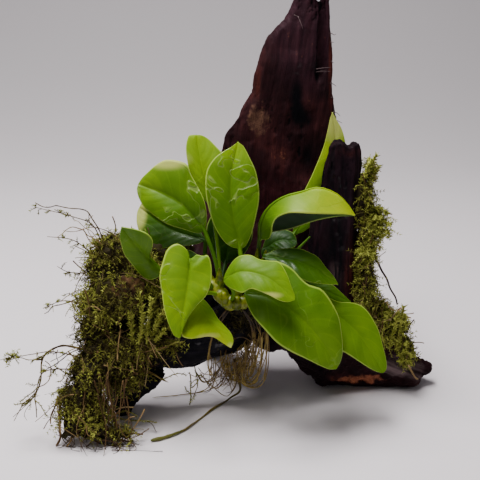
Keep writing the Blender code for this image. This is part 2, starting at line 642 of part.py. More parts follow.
def make_moss(parts, cutters, wood_shapes):
    green = surface("moss_green", (0.10, 0.12, 0.015), 0.8)
    bark = surface("twig_brown", (0.05, 0.02, 0.015), 0.6)
    crown = make_moss_mat("moss_left_crown", MOSS_CROWN_LUMPS, 3.0, wood_shapes, parts, green)
    crown_shape = grown(crown, GAP, cutters)
    skirt = make_moss_mat(
        "moss_left_skirt", MOSS_SKIRT_LUMPS, 7.0, [*wood_shapes, crown_shape], parts, green)
    skirt_shape = grown(skirt, GAP, cutters)
    make_moss_mat("moss_right", MOSS_RIGHT_LUMPS, 11.0, wood_shapes, parts, green)
    for index, path in enumerate(RUNNER_PATHS):
        runner = tube(f"moss_runner_{index + 1}", path, 6, RUNNER_RADIUS, parts, green, taper=0.7)
        for shape in (crown_shape, skirt_shape):
            if boxes_meet(runner, shape):
                cut(runner, shape)
    tube("dark_twig", TWIG_PATH, 7, TWIG_RADIUS, parts, bark, taper=0.8)


def main():
    for item in list(bpy.data.objects):
        bpy.data.objects.remove(item)
    parts, cutters = make_collections()
    make_driftwood(parts, cutters)
    wood_shapes = [item for item in cutters.objects if item.name.startswith("driftwood")]
    make_plant(parts, cutters)
    make_moss(parts, cutters, wood_shapes)


main()
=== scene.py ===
import math

import bmesh
import bpy
import numpy as np
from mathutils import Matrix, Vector, noise
from mathutils.bvhtree import BVHTree


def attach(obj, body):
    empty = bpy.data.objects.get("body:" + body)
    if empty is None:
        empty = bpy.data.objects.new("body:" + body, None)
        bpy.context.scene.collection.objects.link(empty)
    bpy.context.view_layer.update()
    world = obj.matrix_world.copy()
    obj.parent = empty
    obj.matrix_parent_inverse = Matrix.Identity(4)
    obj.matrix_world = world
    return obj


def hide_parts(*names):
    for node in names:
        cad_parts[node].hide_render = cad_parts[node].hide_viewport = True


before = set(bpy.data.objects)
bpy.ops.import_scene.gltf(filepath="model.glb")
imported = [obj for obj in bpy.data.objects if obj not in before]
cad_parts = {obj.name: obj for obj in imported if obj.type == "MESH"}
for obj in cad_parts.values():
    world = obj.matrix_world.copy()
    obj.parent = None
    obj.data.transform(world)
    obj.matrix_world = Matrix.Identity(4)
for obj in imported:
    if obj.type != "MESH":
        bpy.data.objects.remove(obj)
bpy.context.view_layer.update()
layoutShift = np.array([4.6, 0.6, 0.0])
mm = 0.001
print("frame loaded:", len(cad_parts), "nodes")

# The photo's viewing angle in degrees, and the camera's distance and aim in millimetres
view = {
    "elevation": 20.0,
    "distance": 420.0,
    "aimHeight": 81.7,
    "focalPixels": 875.0,
    "imageSize": 480,
    "sensor": 36.0,
}


# Small helpers

def toFrame(points):
    return (np.asarray(points, dtype=float) + layoutShift) * mm


def smoothPath(points, places):
    # Points on a smooth curve through the given ones, at places from 0 to 1 along it
    points = np.array(points, dtype=float)
    ends = [2 * points[0] - points[1], *points, 2 * points[-1] - points[-2]]
    steps = np.linalg.norm(np.diff(points, axis=0), axis=1)
    reach = np.concatenate([[0.0], np.cumsum(steps)]) / steps.sum()
    result = []
    for value in places:
        span = min(int(np.searchsorted(reach, value, side="right")) - 1, len(points) - 2)
        part = (value - reach[span]) / (reach[span + 1] - reach[span])
        before, start, end, after = ends[span:span + 4]
        result.append(0.5 * (
            2 * start
            + (end - before) * part
            + (2 * before - 5 * start + 4 * end - after) * part ** 2
            + (3 * start - before - 3 * end + after) * part ** 3))
    return np.array(result)


def pathLength(points):
    return np.linalg.norm(np.diff(np.array(points, dtype=float), axis=0), axis=1).sum()


def directionsAlong(path, places, reach):
    # The way a path runs at places along it
    after = smoothPath(path, np.clip(places + reach, 0, 1))
    before = smoothPath(path, np.clip(places - reach, 0, 1))
    return unit(after - before)


def nearestSteps(spots, line):
    # The step of the line that each spot lies nearest to
    return np.array([np.argmin(((line - spot) ** 2).sum(axis=1)) for spot in spots])


def unit(vectors):
    return vectors / np.maximum(np.linalg.norm(vectors, axis=-1, keepdims=True), 1e-12)


def band(values, low, high, softLow, softHigh):
    # 1 between low and high, with soft edges that lie inside
    return np.clip((values - low) / softLow, 0, 1) * np.clip((high - values) / softHigh, 0, 1)


def near(points, centre, sizes):
    # 1 at the centre of an oval patch, 0 outside it
    away = np.linalg.norm((points / mm - layoutShift - np.array(centre)) / np.array(sizes), axis=1)
    return np.clip(1.0 - away, 0.0, 1.0)


def patches(points, ovals):
    total = np.zeros(len(points))
    for centre, sizes, strength in ovals:
        total += strength * near(points, centre, sizes)
    return np.clip(total, 0, 1)


def deselectAll():
    for item in bpy.context.selected_objects:
        item.select_set(False)


def activate(item):
    deselectAll()
    item.select_set(True)
    bpy.context.view_layer.objects.active = item


def applyModifier(item, kind, **settings):
    activate(item)
    modifier = item.modifiers.new(kind.lower(), kind)
    for name, value in settings.items():
        setattr(modifier, name, value)
    bpy.ops.object.modifier_apply(modifier=modifier.name)


def joinInto(item, others):
    activate(item)
    for other in others:
        other.select_set(True)
    bpy.ops.object.join()
    return item


def vertexArray(mesh):
    values = np.empty(len(mesh.vertices) * 3)
    mesh.vertices.foreach_get("co", values)
    return values.reshape(-1, 3)


def setVertices(mesh, points):
    mesh.vertices.foreach_set("co", np.asarray(points, dtype=np.float32).ravel())
    mesh.update()


def normalArray(mesh):
    values = np.empty(len(mesh.vertices) * 3)
    mesh.vertex_normals.foreach_get("vector", values)
    return values.reshape(-1, 3)


def meshTree(mesh):
    corners = [vertex.co for vertex in mesh.vertices]
    return BVHTree.FromPolygons(corners, [tuple(face.vertices) for face in mesh.polygons])


def triangleArray(mesh):
    mesh.calc_loop_triangles()
    index = np.empty(len(mesh.loop_triangles) * 3, dtype=np.int64)
    mesh.loop_triangles.foreach_get("vertices", index)
    return index.reshape(-1, 3)


def setTone(mesh, name, values):
    attribute = mesh.attributes.new(name, "FLOAT", "POINT")
    values = np.broadcast_to(values, len(mesh.vertices))
    attribute.data.foreach_set("value", values.astype(np.float32))


def setTones(mesh, **values):
    for name, value in values.items():
        setTone(mesh, name, value)


def nodeCopy(name):
    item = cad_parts[name].copy()
    item.data = item.data.copy()
    item.parent = None
    item.hide_render = False
    item.name = name + "_form"
    bpy.context.scene.collection.objects.link(item)
    shape = bmesh.new()
    shape.from_mesh(item.data)
    bmesh.ops.remove_doubles(shape, verts=shape.verts, dist=0.00001)
    shape.to_mesh(item.data)
    shape.free()
    return item


def fieldNoise(points, scale, seed, octaves=1):
    # Smooth noise, -1 to 1, of points; scale is in waves per unit, one number or three
    falloff, octaveStep = 0.7, 2.1
    spots = points * np.asarray(scale) + seed
    return np.array([noise.fractal(Vector(spot), falloff, octaveStep, octaves) for spot in spots])


def ovalBall(name, centre, sizes):
    # An oval ball in layout millimetres, with its place in its mesh
    deselectAll()
    bpy.ops.mesh.primitive_ico_sphere_add(subdivisions=4, radius=mm, location=toFrame(centre), scale=sizes)
    ball = bpy.context.object
    ball.name = name
    bpy.ops.object.transform_apply(location=True, rotation=True, scale=True)
    return ball


def tubeAlong(name, points, radii, sides=8):
    # A round stem of changing thickness through points in frame metres
    curve = bpy.data.curves.new(name, "CURVE")
    curve.dimensions = "3D"
    curve.bevel_depth = mm
    curve.bevel_resolution = (sides - 4) // 2
    curve.use_fill_caps = True
    spline = curve.splines.new("POLY")
    spline.points.add(len(points) - 1)
    for point, spot, radius in zip(spline.points, points, radii):
        point.co = (*spot, 1.0)
        point.radius = radius
    item = bpy.data.objects.new(name, curve)
    bpy.context.scene.collection.objects.link(item)
    activate(item)
    bpy.ops.object.convert(target="MESH")
    shape = bmesh.new()
    shape.from_mesh(item.data)
    bmesh.ops.remove_doubles(shape, verts=shape.verts, dist=0.000002)
    bmesh.ops.recalc_face_normals(shape, faces=shape.faces)
    shape.to_mesh(item.data)
    shape.free()
    item.data.shade_smooth()
    return item


def finishPiece(item, material, nodes=()):
    item.data.materials.clear()
    item.data.materials.append(material)
    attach(item, "root")
    if nodes:
        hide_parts(*nodes)
    return item


# Shader sockets with arithmetic

class Wire:
    def __init__(self, finish, socket):
        self.finish = finish
        self.socket = socket

    def combine(self, operation, *values):
        return self.finish.add("ShaderNodeMath", {"operation": operation}, dict(enumerate(values)))

    def __add__(self, other):
        return self.combine("ADD", self, other)

    def __sub__(self, other):
        return self.combine("SUBTRACT", self, other)

    def __rsub__(self, other):
        return self.combine("SUBTRACT", other, self)

    def __mul__(self, other):
        return self.combine("MULTIPLY", self, other)

    def __abs__(self):
        return self.combine("ABSOLUTE", self)

    def sine(self):
        return self.combine("SINE", self)

    def span(self, low, high, start=0.0, end=1.0):
        # Runs from start to end while the value runs from low to high
        return self.finish.add("ShaderNodeMapRange", {"interpolation_type": "SMOOTHSTEP"}, {
            "Value": self, "From Min": low, "From Max": high, "To Min": start, "To Max": end})


def setStops(ramp, stops):
    while len(ramp.elements) < len(stops):
        ramp.elements.new(0.5)
    for element, (place, colour) in zip(ramp.elements, stops):
        element.position = place
        element.color = (*colour, 1.0)


class Finish:
    def __init__(self, name, **sockets):
        self.material = bpy.data.materials.new(name)
        self.material.use_nodes = True
        self.tree = self.material.node_tree
        self.shader = self.tree.nodes["Principled BSDF"]
        for socket, value in sockets.items():
            self.shader.inputs[socket.replace("_", " ")].default_value = value

    def add(self, kind, settings=None, inputs=None, output=0):
        node = self.tree.nodes.new(kind)
        for name, value in (settings or {}).items():
            if name == "stops":
                setStops(node.color_ramp, value)
            else:
                setattr(node, name, value)
        for name, value in (inputs or {}).items():
            self.put(node.inputs[name], value)
        return Wire(self, node.outputs[output])

    def put(self, socket, value):
        if isinstance(value, Wire):
            self.tree.links.new(value.socket, socket)
        elif isinstance(value, tuple) and len(value) == 3 and socket.type == "RGBA":
            socket.default_value = (*value, 1.0)
        else:
            socket.default_value = value

    def place(self):
        return self.add("ShaderNodeTexCoord", output="Object")

    def grain(self, vector, scale, detail=4.0, roughness=0.55, distortion=0.0):
        return self.add("ShaderNodeTexNoise", inputs={
            "Vector": vector, "Scale": scale, "Detail": detail, "Roughness": roughness,
            "Distortion": distortion})

    def tone(self, name):
        return self.add("ShaderNodeAttribute", {"attribute_name": name}, output="Fac")

    def blend(self, factor, first, second):
        node = self.tree.nodes.new("ShaderNodeMix")
        node.data_type = "RGBA"
        self.put(node.inputs[0], factor)
        self.put(node.inputs[6], first)
        self.put(node.inputs[7], second)
        return Wire(self, node.outputs[2])

    def ramp(self, factor, stops):
        return self.add("ShaderNodeValToRGB", {"stops": stops}, {"Fac": factor}, "Color")

    def bump(self, height, depth, before=None):
        inputs = {"Height": height, "Distance": depth, "Strength": 1.0}
        if before:
            inputs["Normal"] = before
        return self.add("ShaderNodeBump", inputs=inputs)

    def show(self, **sockets):
        for socket, value in sockets.items():
            self.put(self.shader.inputs[socket.replace("_", " ")], value)
        return self.material


# Driftwood: one body, grown out of the solids, with the grain cut into its surface

wood = {
    "nodes": ["driftwood_spike", "driftwood_stub", "driftwood_right_foot", "driftwood_left_arm",
              "driftwood_left_leg", "driftwood_back_root"],
    # Wood between the arm and the foot, behind the roots: centre, half sizes
    "fork": ((17, -7, 32), (11, 6, 6)),
    "voxel": 0.85,
    "gapFill": 0.45,
    "smoothing": 0.6,
    "smoothRounds": 4,
    "blendOver": 3.0,
    "footSlope": -0.45,
    "armSlope": 0.12,
    "slabLean": 0.16,
    "leanFrom": 100,
    "ridge": 0.5,
    "fineRidge": 0.24,
    "crack": 0.9,
    "crackWidth": 0.05,
    "pit": 0.7,
    "pitFrom": 0.25,
    "groove": 0.35,
    "hollow": 1.3,
    "layer": 1.2,
    "layerCount": 3,
    "lump": 1.5,
    "stubLump": 0.5,
    "flatBelow": 0.5,
    "reliefOver": 3.0,
}
# Noise along the grain, across it and into the wood: waves a millimetre, seed, octaves
grainNoises = {
    "ridges": ((0.018, 0.30, 0.30), 3.0, 3),
    "fine": ((0.05, 0.85, 0.85), 11.0, 2),
    "cracks": ((0.022, 0.36, 0.36), 27.0, 2),
    "grooves": ((0.012, 0.42, 0.42), 61.0, 1),
    "layers": ((0.02, 0.16, 0.1), 88.0, 2),
}
# Noise that follows no grain
placeNoises = {
    "cracked": (0.03, 5.0, 1),
    "pits": (0.22, 40.0, 2),
    "lumps": (0.13, 15.0, 3),
    "stubLumps": ((0.2, 0.2, 0.08), 19.0, 3),
    "drift": ((0, 0, 0.09), 9.0, 2),
    "torn": ((0.9, 0.6, 0), 70.0, 2),
}
# The deep channel beside the right rim of the tall slab, which narrows to its lower end, with a painted
# shadow line along its left wall
channelShape = {
    "sides": (36.6, 41.8),
    "softSides": (0.5, 1.8),
    "ends": (150, 205),
    "softEnds": (9, 3),
    "riftShadow": (36.2, 38.2),
    "softRift": (0.6, 1.0),
    "depth": 2.4,
    "drift": 0.8,
    "narrowBelow": 172,
    "narrowOver": 20,
    "narrowBy": 1.9,
}
# The torn top of the stump: how far it stands up or down at places across it
tornTop = {
    "places": [41, 43, 46, 48.5, 50.5, 53, 56, 58.5],
    "heights": [-0.9, 0.2, 0.9, -0.3, -1.6, 0.2, 0.3, -0.5],
    "roughness": 0.4,
    "above": 121,
    "over": 5,
}
# How black each part is: the stump all over, the slab near its foot, the foot near the arm
charring = {
    "stub": 0.62,
    "slabBelow": 72,
    "slabOver": 22,
    "foot": 0.55,
    "footBefore": 60,
    "footOver": 20,
}
# Ovals on the wood: centre, half sizes, strength
woodMarks = {
    # Hollows: drawn into the wood, and darkened in colour as painted shade
    "hollow": [
        ((27, 20, 147), (5, 14, 15), 1.0), ((30, 20, 136), (8, 14, 8), 0.9),
        ((37, 20, 160), (4, 14, 8), 0.9), ((46, -6, 80), (4, 6, 36), 0.5),
        ((33, 20, 118), (7, 14, 14), 0.7)],
    "redness": [
        ((7.7, 24, 152), (4.5, 12, 13), 1.2), ((43.6, 27, 170), (2.2, 14, 44), 1.6),
        ((37, 27, 200), (5, 10, 9), 0.9), ((15, 24, 120), (18, 14, 22), 0.25),
        ((60, -4, 7), (17, 9, 5), 0.6), ((53, -3, 66), (7, 9, 34), 1.2),
        ((50, -3, 126), (10, 9, 4), 0.6)],
    "tan": [
        ((8.5, 22, 136), (9, 14, 11.5), 0.9), ((45.5, -7, 66), (5, 8, 12), 0.7),
        ((-20, 50, 4), (14, 14, 8), 0.5)],
    "wet": [
        ((10, 15, 100), (30, 20, 16), 1.5), ((40, 0, 100), (14, 16, 14), 0.8),
        ((-10, -20, 35), (30, 14, 12), 0.9)],
    "orange": [((61, -6, 6), (19, 12, 6), 1.6)],
    "grey": [
        ((88, -2, 16), (18, 12, 12), 1.2), ((74, -10, 13), (17, 13, 10), 1.1),
        ((45.5, -7, 66), (6, 8, 14), 0.8)],
    # Purple: the slab's own reddish purple; the oval on the stump is partly its own tone and partly painted
    # purplish-grey highlights on its ridges
    "purple": [((32, 22, 185), (26, 20, 48), 1.5), ((50, -3, 100), (14, 14, 44), 1.2)],
}
woodColours = {
    "base": [
        (0.24, (0.0075, 0.0020, 0.0028)), (0.42, (0.0140, 0.0037, 0.0048)),
        (0.58, (0.0230, 0.0058, 0.0070)), (0.78, (0.0450, 0.0115, 0.0120))],
    "purple": [(0.3, (0.0120, 0.0042, 0.0075)), (0.7, (0.0400, 0.0135, 0.0200))],
    "red": [(0.3, (0.020, 0.0040, 0.0032)), (0.7, (0.095, 0.020, 0.015))],
    "tan": [(0.35, (0.040, 0.0170, 0.0130)), (0.65, (0.170, 0.082, 0.050))],
    "orange": [
        (0.3, (0.10, 0.030, 0.020)), (0.55, (0.42, 0.135, 0.065)), (0.8, (0.85, 0.42, 0.19))],
    "grey": [(0.3, (0.07, 0.047, 0.050)), (0.7, (0.24, 0.17, 0.17))],
    # Char: black wood, its blue tint a painted reflection of the bluish room on the wet surface
    "char": [
        (0.32, (0.0006, 0.0005, 0.0014)), (0.52, (0.0022, 0.0017, 0.0042)),
        (0.72, (0.0080, 0.0056, 0.0098))],
}
# Painted shade: the near black put into hollows, cracks, grooves and the channel's rift
hollowShadeColour = (0.0012, 0.0010, 0.0022)
# Pale frayed fibres on the tall slab
woodFibres = [
    [(41.9, 17, 177.1), (43.4, 17, 176.2), (44.3, 17, 176.6)],
    [(41.6, 17, 173.0), (43.5, 17, 172.8)],
    [(42.4, 17, 164.3), (43.6, 17, 163.4)],
    [(42.3, 17, 154.0), (43.7, 17, 153.6), (45.2, 17, 152.6)],
    [(43.0, 17, 147.4), (44.5, 17, 146.5)],
    [(44.1, 16, 140.5), (46.0, 16, 140.0), (47.5, 16, 138.6)],
    [(44.6, 15, 137.3), (46.5, 15, 136.4), (48.5, 15, 135.4)],
    [(45.6, 14, 134.2), (48.0, 14, 133.2)],
    [(35.3, 14.5, 161.0), (38.1, 14.5, 161.4), (41.9, 14.5, 161.7)],
    [(35.3, 14.5, 159.6), (38.1, 14.5, 160.0), (41.9, 14.5, 159.8)],
    [(26.4, 14.5, 184.9), (27.9, 14.5, 181.4), (28.8, 14.5, 179.1)],
    [(24.6, 14.5, 185.4), (26.9, 14.5, 184.5)],
]
fibreShape = {"radius": 0.24, "taper": 0.6, "steps": 8, "sides": 6, "grey": 0.8}


def woodFinish():
    finish = Finish("wetDriftwood", Specular_IOR_Level=0.08, Coat_Roughness=0.14)
    run = finish.tone("grainRun")
    across = finish.tone("grainAcross")
    streakSpot = finish.add("ShaderNodeCombineXYZ", inputs={"X": run * 30, "Y": across * 420, "Z": 0.0})
    streaks = finish.grain(streakSpot, 1.0, 6.0, 0.62)
    lineSpot = finish.add("ShaderNodeCombineXYZ", inputs={"X": run * 110, "Y": across * 2400, "Z": 3.0})
    lines = finish.grain(lineSpot, 1.0, 3.0, 0.6)
    broad = finish.grain(finish.place(), 60.0, 3.0)
    speck = finish.grain(finish.place(), 1500.0, 3.0, 0.6)
    blotch = finish.grain(finish.place(), 260.0, 4.0, 0.65)
    film = finish.grain(finish.place(), 220.0, 4.0)
    ragged = (broad - 0.5) * 1.4 + (streaks - 0.5) * 1.2
    blotched = (blotch - 0.5) * 1.4
    hollow = finish.tone("hollow")
    purple = finish.tone("purple")
    tan = finish.tone("tan")
    wet = finish.tone("wet")
    mottle = streaks * 0.6 + broad * 0.4 + (broad - 0.5) * 0.9 + (lines - 0.5) * 0.15
    # Each colour, from the one below to the one above: how much of it shows, and its place on its ramp
    layers = [
        ("purple", purple.span(0.1, 0.8, 0.0, 0.85), streaks),
        ("red", (finish.tone("redness") + ragged * 0.5).span(0.15, 0.95, 0.0, 0.9),
         streaks + (lines - 0.5) * 0.3),
        ("tan", (tan + ragged * 0.5 + blotched).span(0.3, 0.75) * tan.span(0.0, 0.2),
         speck * 0.4 + streaks * 0.6),
        ("orange", (finish.tone("orange") + ragged * 0.5 + (blotch - 0.5) * 1.5).span(0.3, 0.8),
         speck * 0.3 + streaks * 0.7),
        ("grey", (finish.tone("grey") + ragged * 0.4).span(0.15, 0.9, 0.0, 0.8), streaks),
        ("char", finish.tone("char"), streaks + (broad - 0.5) * 0.4),
    ]
    base = finish.ramp(mottle, woodColours["base"])
    for name, share, place in layers:
        base = finish.blend(share, base, finish.ramp(place, woodColours[name]))
    # Painted shade: hollows, cracks, grooves and the rift are darkened towards near black
    deep = (hollow + ragged * 0.35).span(0.12, 0.75) * hollow.span(0.0, 0.1)
    base = finish.blend(deep, base, hollowShadeColour)
    rough = (film + wet * 0.3).span(0.42, 0.75, 0.62, 0.25) + speck.span(0.3, 0.7, 0.0, 0.12)
    glints = blotch.span(0.56, 0.62) * (wet * 0.8 + purple * 0.25)
    fine = finish.bump(streaks, 0.0005)
    fine = finish.bump(lines, 0.00022, fine)
    fine = finish.bump(speck, 0.00012, fine)
    return finish.show(Base_Color=base, Roughness=rough, Normal=fine, Coat_Weight=glints)


def nearestNode(points, names):
    # How much each point belongs to each of the nodes, as shares that add up to 1
    distances = []
    for name in names:
        tree = meshTree(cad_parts[name].data)
        distances.append([tree.find_nearest(Vector(point))[3] for point in points])
    share = np.exp(-(np.array(distances) / (wood["blendOver"] * mm)))
    return share / share.sum(axis=0)


def cameraPlace():
    tilt = math.radians(view["elevation"])
    aim = toFrame((0, 0, view["aimHeight"]))
    return aim + np.array([0, -math.cos(tilt), math.sin(tilt)]) * view["distance"] * mm


def atDepth(eye, points, depths):
    # The points moved along the camera's sight lines until they lie at the given depths
    share = (depths - eye[1]) / (points[..., 1] - eye[1])
    return eye + (points - eye) * share[..., None]


def laidOn(tree, points):
    # Points laid on the surface as the camera sees them, straight over grooves and out past the rim
    eye = cameraPlace()
    found = [tree.ray_cast(Vector(eye), Vector(point - eye).normalized())[0] for point in points]
    depths = np.array([spot.y if spot else np.nan for spot in found])
    if np.isnan(depths).all():
        # The line lies wholly past the rim, at the depth of the edge that it starts from
        rim = Vector(points[0])
        for attempt in range(5):
            rim = tree.find_nearest(Vector(atDepth(eye, points[0], np.float64(rim.y))))[0]
        return np.array([rim, *atDepth(eye, points[1:], np.full(len(points) - 1, rim.y))])
    depths = np.where(np.isnan(depths), np.nanmax(depths), depths)
    return atDepth(eye, points, np.minimum(depths, np.linspace(depths[0], depths[-1], len(depths))))


def makeFibres(body):
    tree = meshTree(body.data)
    places = np.linspace(0, 1, fibreShape["steps"])
    radii = fibreShape["radius"] * (1 - fibreShape["taper"] * places)
    fibres = []
    for path in woodFibres:
        line = laidOn(tree, toFrame(smoothPath(path, places)))
        fibre = tubeAlong("fibre", line, radii, fibreShape["sides"])
        setTones(fibre.data, grainRun=0.0, grainAcross=0.0, char=0.0, grey=fibreShape["grey"],
                 **{name: 0.0 for name in woodMarks if name != "grey"})
        fibres.append(fibre)
    return fibres


def joinedWood():
    # The solids grown together, with the fork that carries the arm
    copies = [nodeCopy(name) for name in wood["nodes"]]
    for item in copies:
        applyModifier(item, "DISPLACE", strength=wood["gapFill"] * mm, mid_level=0.0)
    body = joinInto(copies[0], [*copies[1:], ovalBall("fork", *wood["fork"])])
    body.name = "driftwood"
    applyModifier(body, "REMESH", mode="VOXEL", voxel_size=wood["voxel"] * mm)
    applyModifier(body, "SMOOTH", factor=wood["smoothing"], iterations=wood["smoothRounds"])
    return body


def grainSpots(local, share):
    # Places along the grain, across it and into the wood. It is upright in the slab, the stump and the
    # leg, falls to the right in the foot and rises to the right in the arm.
    x, depth, z = local.T
    spike, stub, foot, arm, leg, backRoot = share
    upright = spike + stub + leg
    lying = foot + arm
    slope = foot * wood["footSlope"] + arm * wood["armSlope"]
    run = upright * z + lying * (x + slope * z) + backRoot * depth
    lean = x - wood["slabLean"] * (z - wood["leanFrom"]) * (spike > 0.5)
    across = upright * lean + lying * (z - slope * x) + backRoot * x
    return np.stack([run, across, depth], axis=1)


def channelShares(local, drift):
    # How much each point lies in the channel of the slab, and in the painted shadow line along its left side
    x, depth, z = local.T
    shape = channelShape
    left, right = shape["sides"]
    narrow = shape["narrowBy"] * np.clip((shape["narrowBelow"] - z) / shape["narrowOver"], 0, 1)
    tall = band(z, *shape["ends"], *shape["softEnds"])
    place = x - shape["drift"] * drift
    channel = band(place, left, right - narrow, *shape["softSides"]) * tall
    return channel, band(place, *shape["riftShadow"], *shape["softRift"]) * tall


def charShares(local, share):
    # How black the wood is: wholly in the arm and the leg
    x, depth, z = local.T
    spike, stub, foot, arm, leg, backRoot = share
    nearFloor = np.clip((charring["slabBelow"] - z) / charring["slabOver"], 0, 1)
    nearArm = np.clip((charring["footBefore"] - x) / charring["footOver"], 0, 1)
    return arm + leg + stub * charring["stub"] + spike * nearFloor + foot * charring["foot"] * nearArm


def makeDriftwood():
    body = joinedWood()
    points = vertexArray(body.data)
    normals = normalArray(body.data)
    points = points - normals * wood["gapFill"] * mm
    share = nearestNode(points, wood["nodes"])
    spike, stub, foot = share[:3]
    local = points / mm - layoutShift
    x, depth, z = local.T
    grain = grainSpots(local, share)
    along = {name: fieldNoise(grain, *row) for name, row in grainNoises.items()}
    place = {name: fieldNoise(local, *row) for name, row in placeNoises.items()}
    marks = {name: patches(points, ovals) for name, ovals in woodMarks.items()}

    cracks = np.clip(1.0 - np.abs(along["cracks"]) / wood["crackWidth"], 0.0, 1.0)
    cracks *= np.clip(place["cracked"] * 3 + 0.3, 0, 1)
    pits = np.clip(place["pits"] - wood["pitFrom"], 0.0, 1.0)
    grooves = stub * (1 - stub * np.clip(np.abs(along["grooves"]) * 3, 0, 1))
    channel, riftShadow = channelShares(local, place["drift"])
    channel *= np.clip(-normals[:, 1] * 2, 0, 1) * spike
    worn = np.round(along["layers"] * wood["layerCount"]) / wood["layerCount"]

    step = wood["ridge"] * along["ridges"] * (1 - 0.4 * spike) + wood["fineRidge"] * along["fine"]
    step += foot * (wood["layer"] * worn + wood["lump"] * place["lumps"])
    step += stub * wood["stubLump"] * wood["lump"] * place["stubLumps"]
    step -= wood["crack"] * cracks + wood["pit"] * pits
    step -= wood["groove"] * grooves
    step -= wood["hollow"] * np.sqrt(marks["hollow"]) + channelShape["depth"] * channel
    step *= np.clip((z - wood["flatBelow"]) / wood["reliefOver"], 0.0, 1.0)
    points = points + normals * (step * mm)[:, None]
    torn = np.interp(x, tornTop["places"], tornTop["heights"]) + tornTop["roughness"] * place["torn"]
    points[:, 2] += torn * np.clip((z - tornTop["above"]) / tornTop["over"], 0, 1) * (stub > 0.6) * mm
    points[:, 2] = np.maximum(points[:, 2], 0.0)
    setVertices(body.data, points)
    body.data.shade_smooth()

    # Cracks, the rift and the stump's grooves join the hollows, all to be darkened as painted shade
    marks["hollow"] = np.clip(marks["hollow"] + cracks * 0.9 + riftShadow * spike + 0.5 * grooves, 0, 1)
    bare = (marks["redness"] + marks["tan"]) * 0.7
    setTones(body.data, grainRun=grain[:, 0] * mm, grainAcross=(grain[:, 1] + 0.6 * depth) * mm,
             char=np.clip(charShares(local, share) - bare, 0, 1), **marks)
    joinInto(body, makeFibres(body))
    finishPiece(body, woodFinish(), wood["nodes"])
    print("driftwood:", len(body.data.polygons), "faces")


# Anubias leaves: the same midribs and margins as the solids, left and right as seen on the upper side

leafShape = {
    "rows": 46,
    "columns": 28,
    "crowding": 0.55,
    "thickness": 0.55,
    "stalk": 1.1,
    "leastHalfWidth": 0.25,
    "bulge": 0.075,
    "vein": 0.09,
    "veinPairs": 8,
    "veinLean": 1.9,
    "wave": 0.45,
    "waveCount": 1.7,
    "fullWaveWidth": 22,
    "groove": 0.22,
    "grooveWidth": 0.6,
    "buckle": 0.4,
    "buckleWaves": 95.0,
    "flatten": 0.55,
}
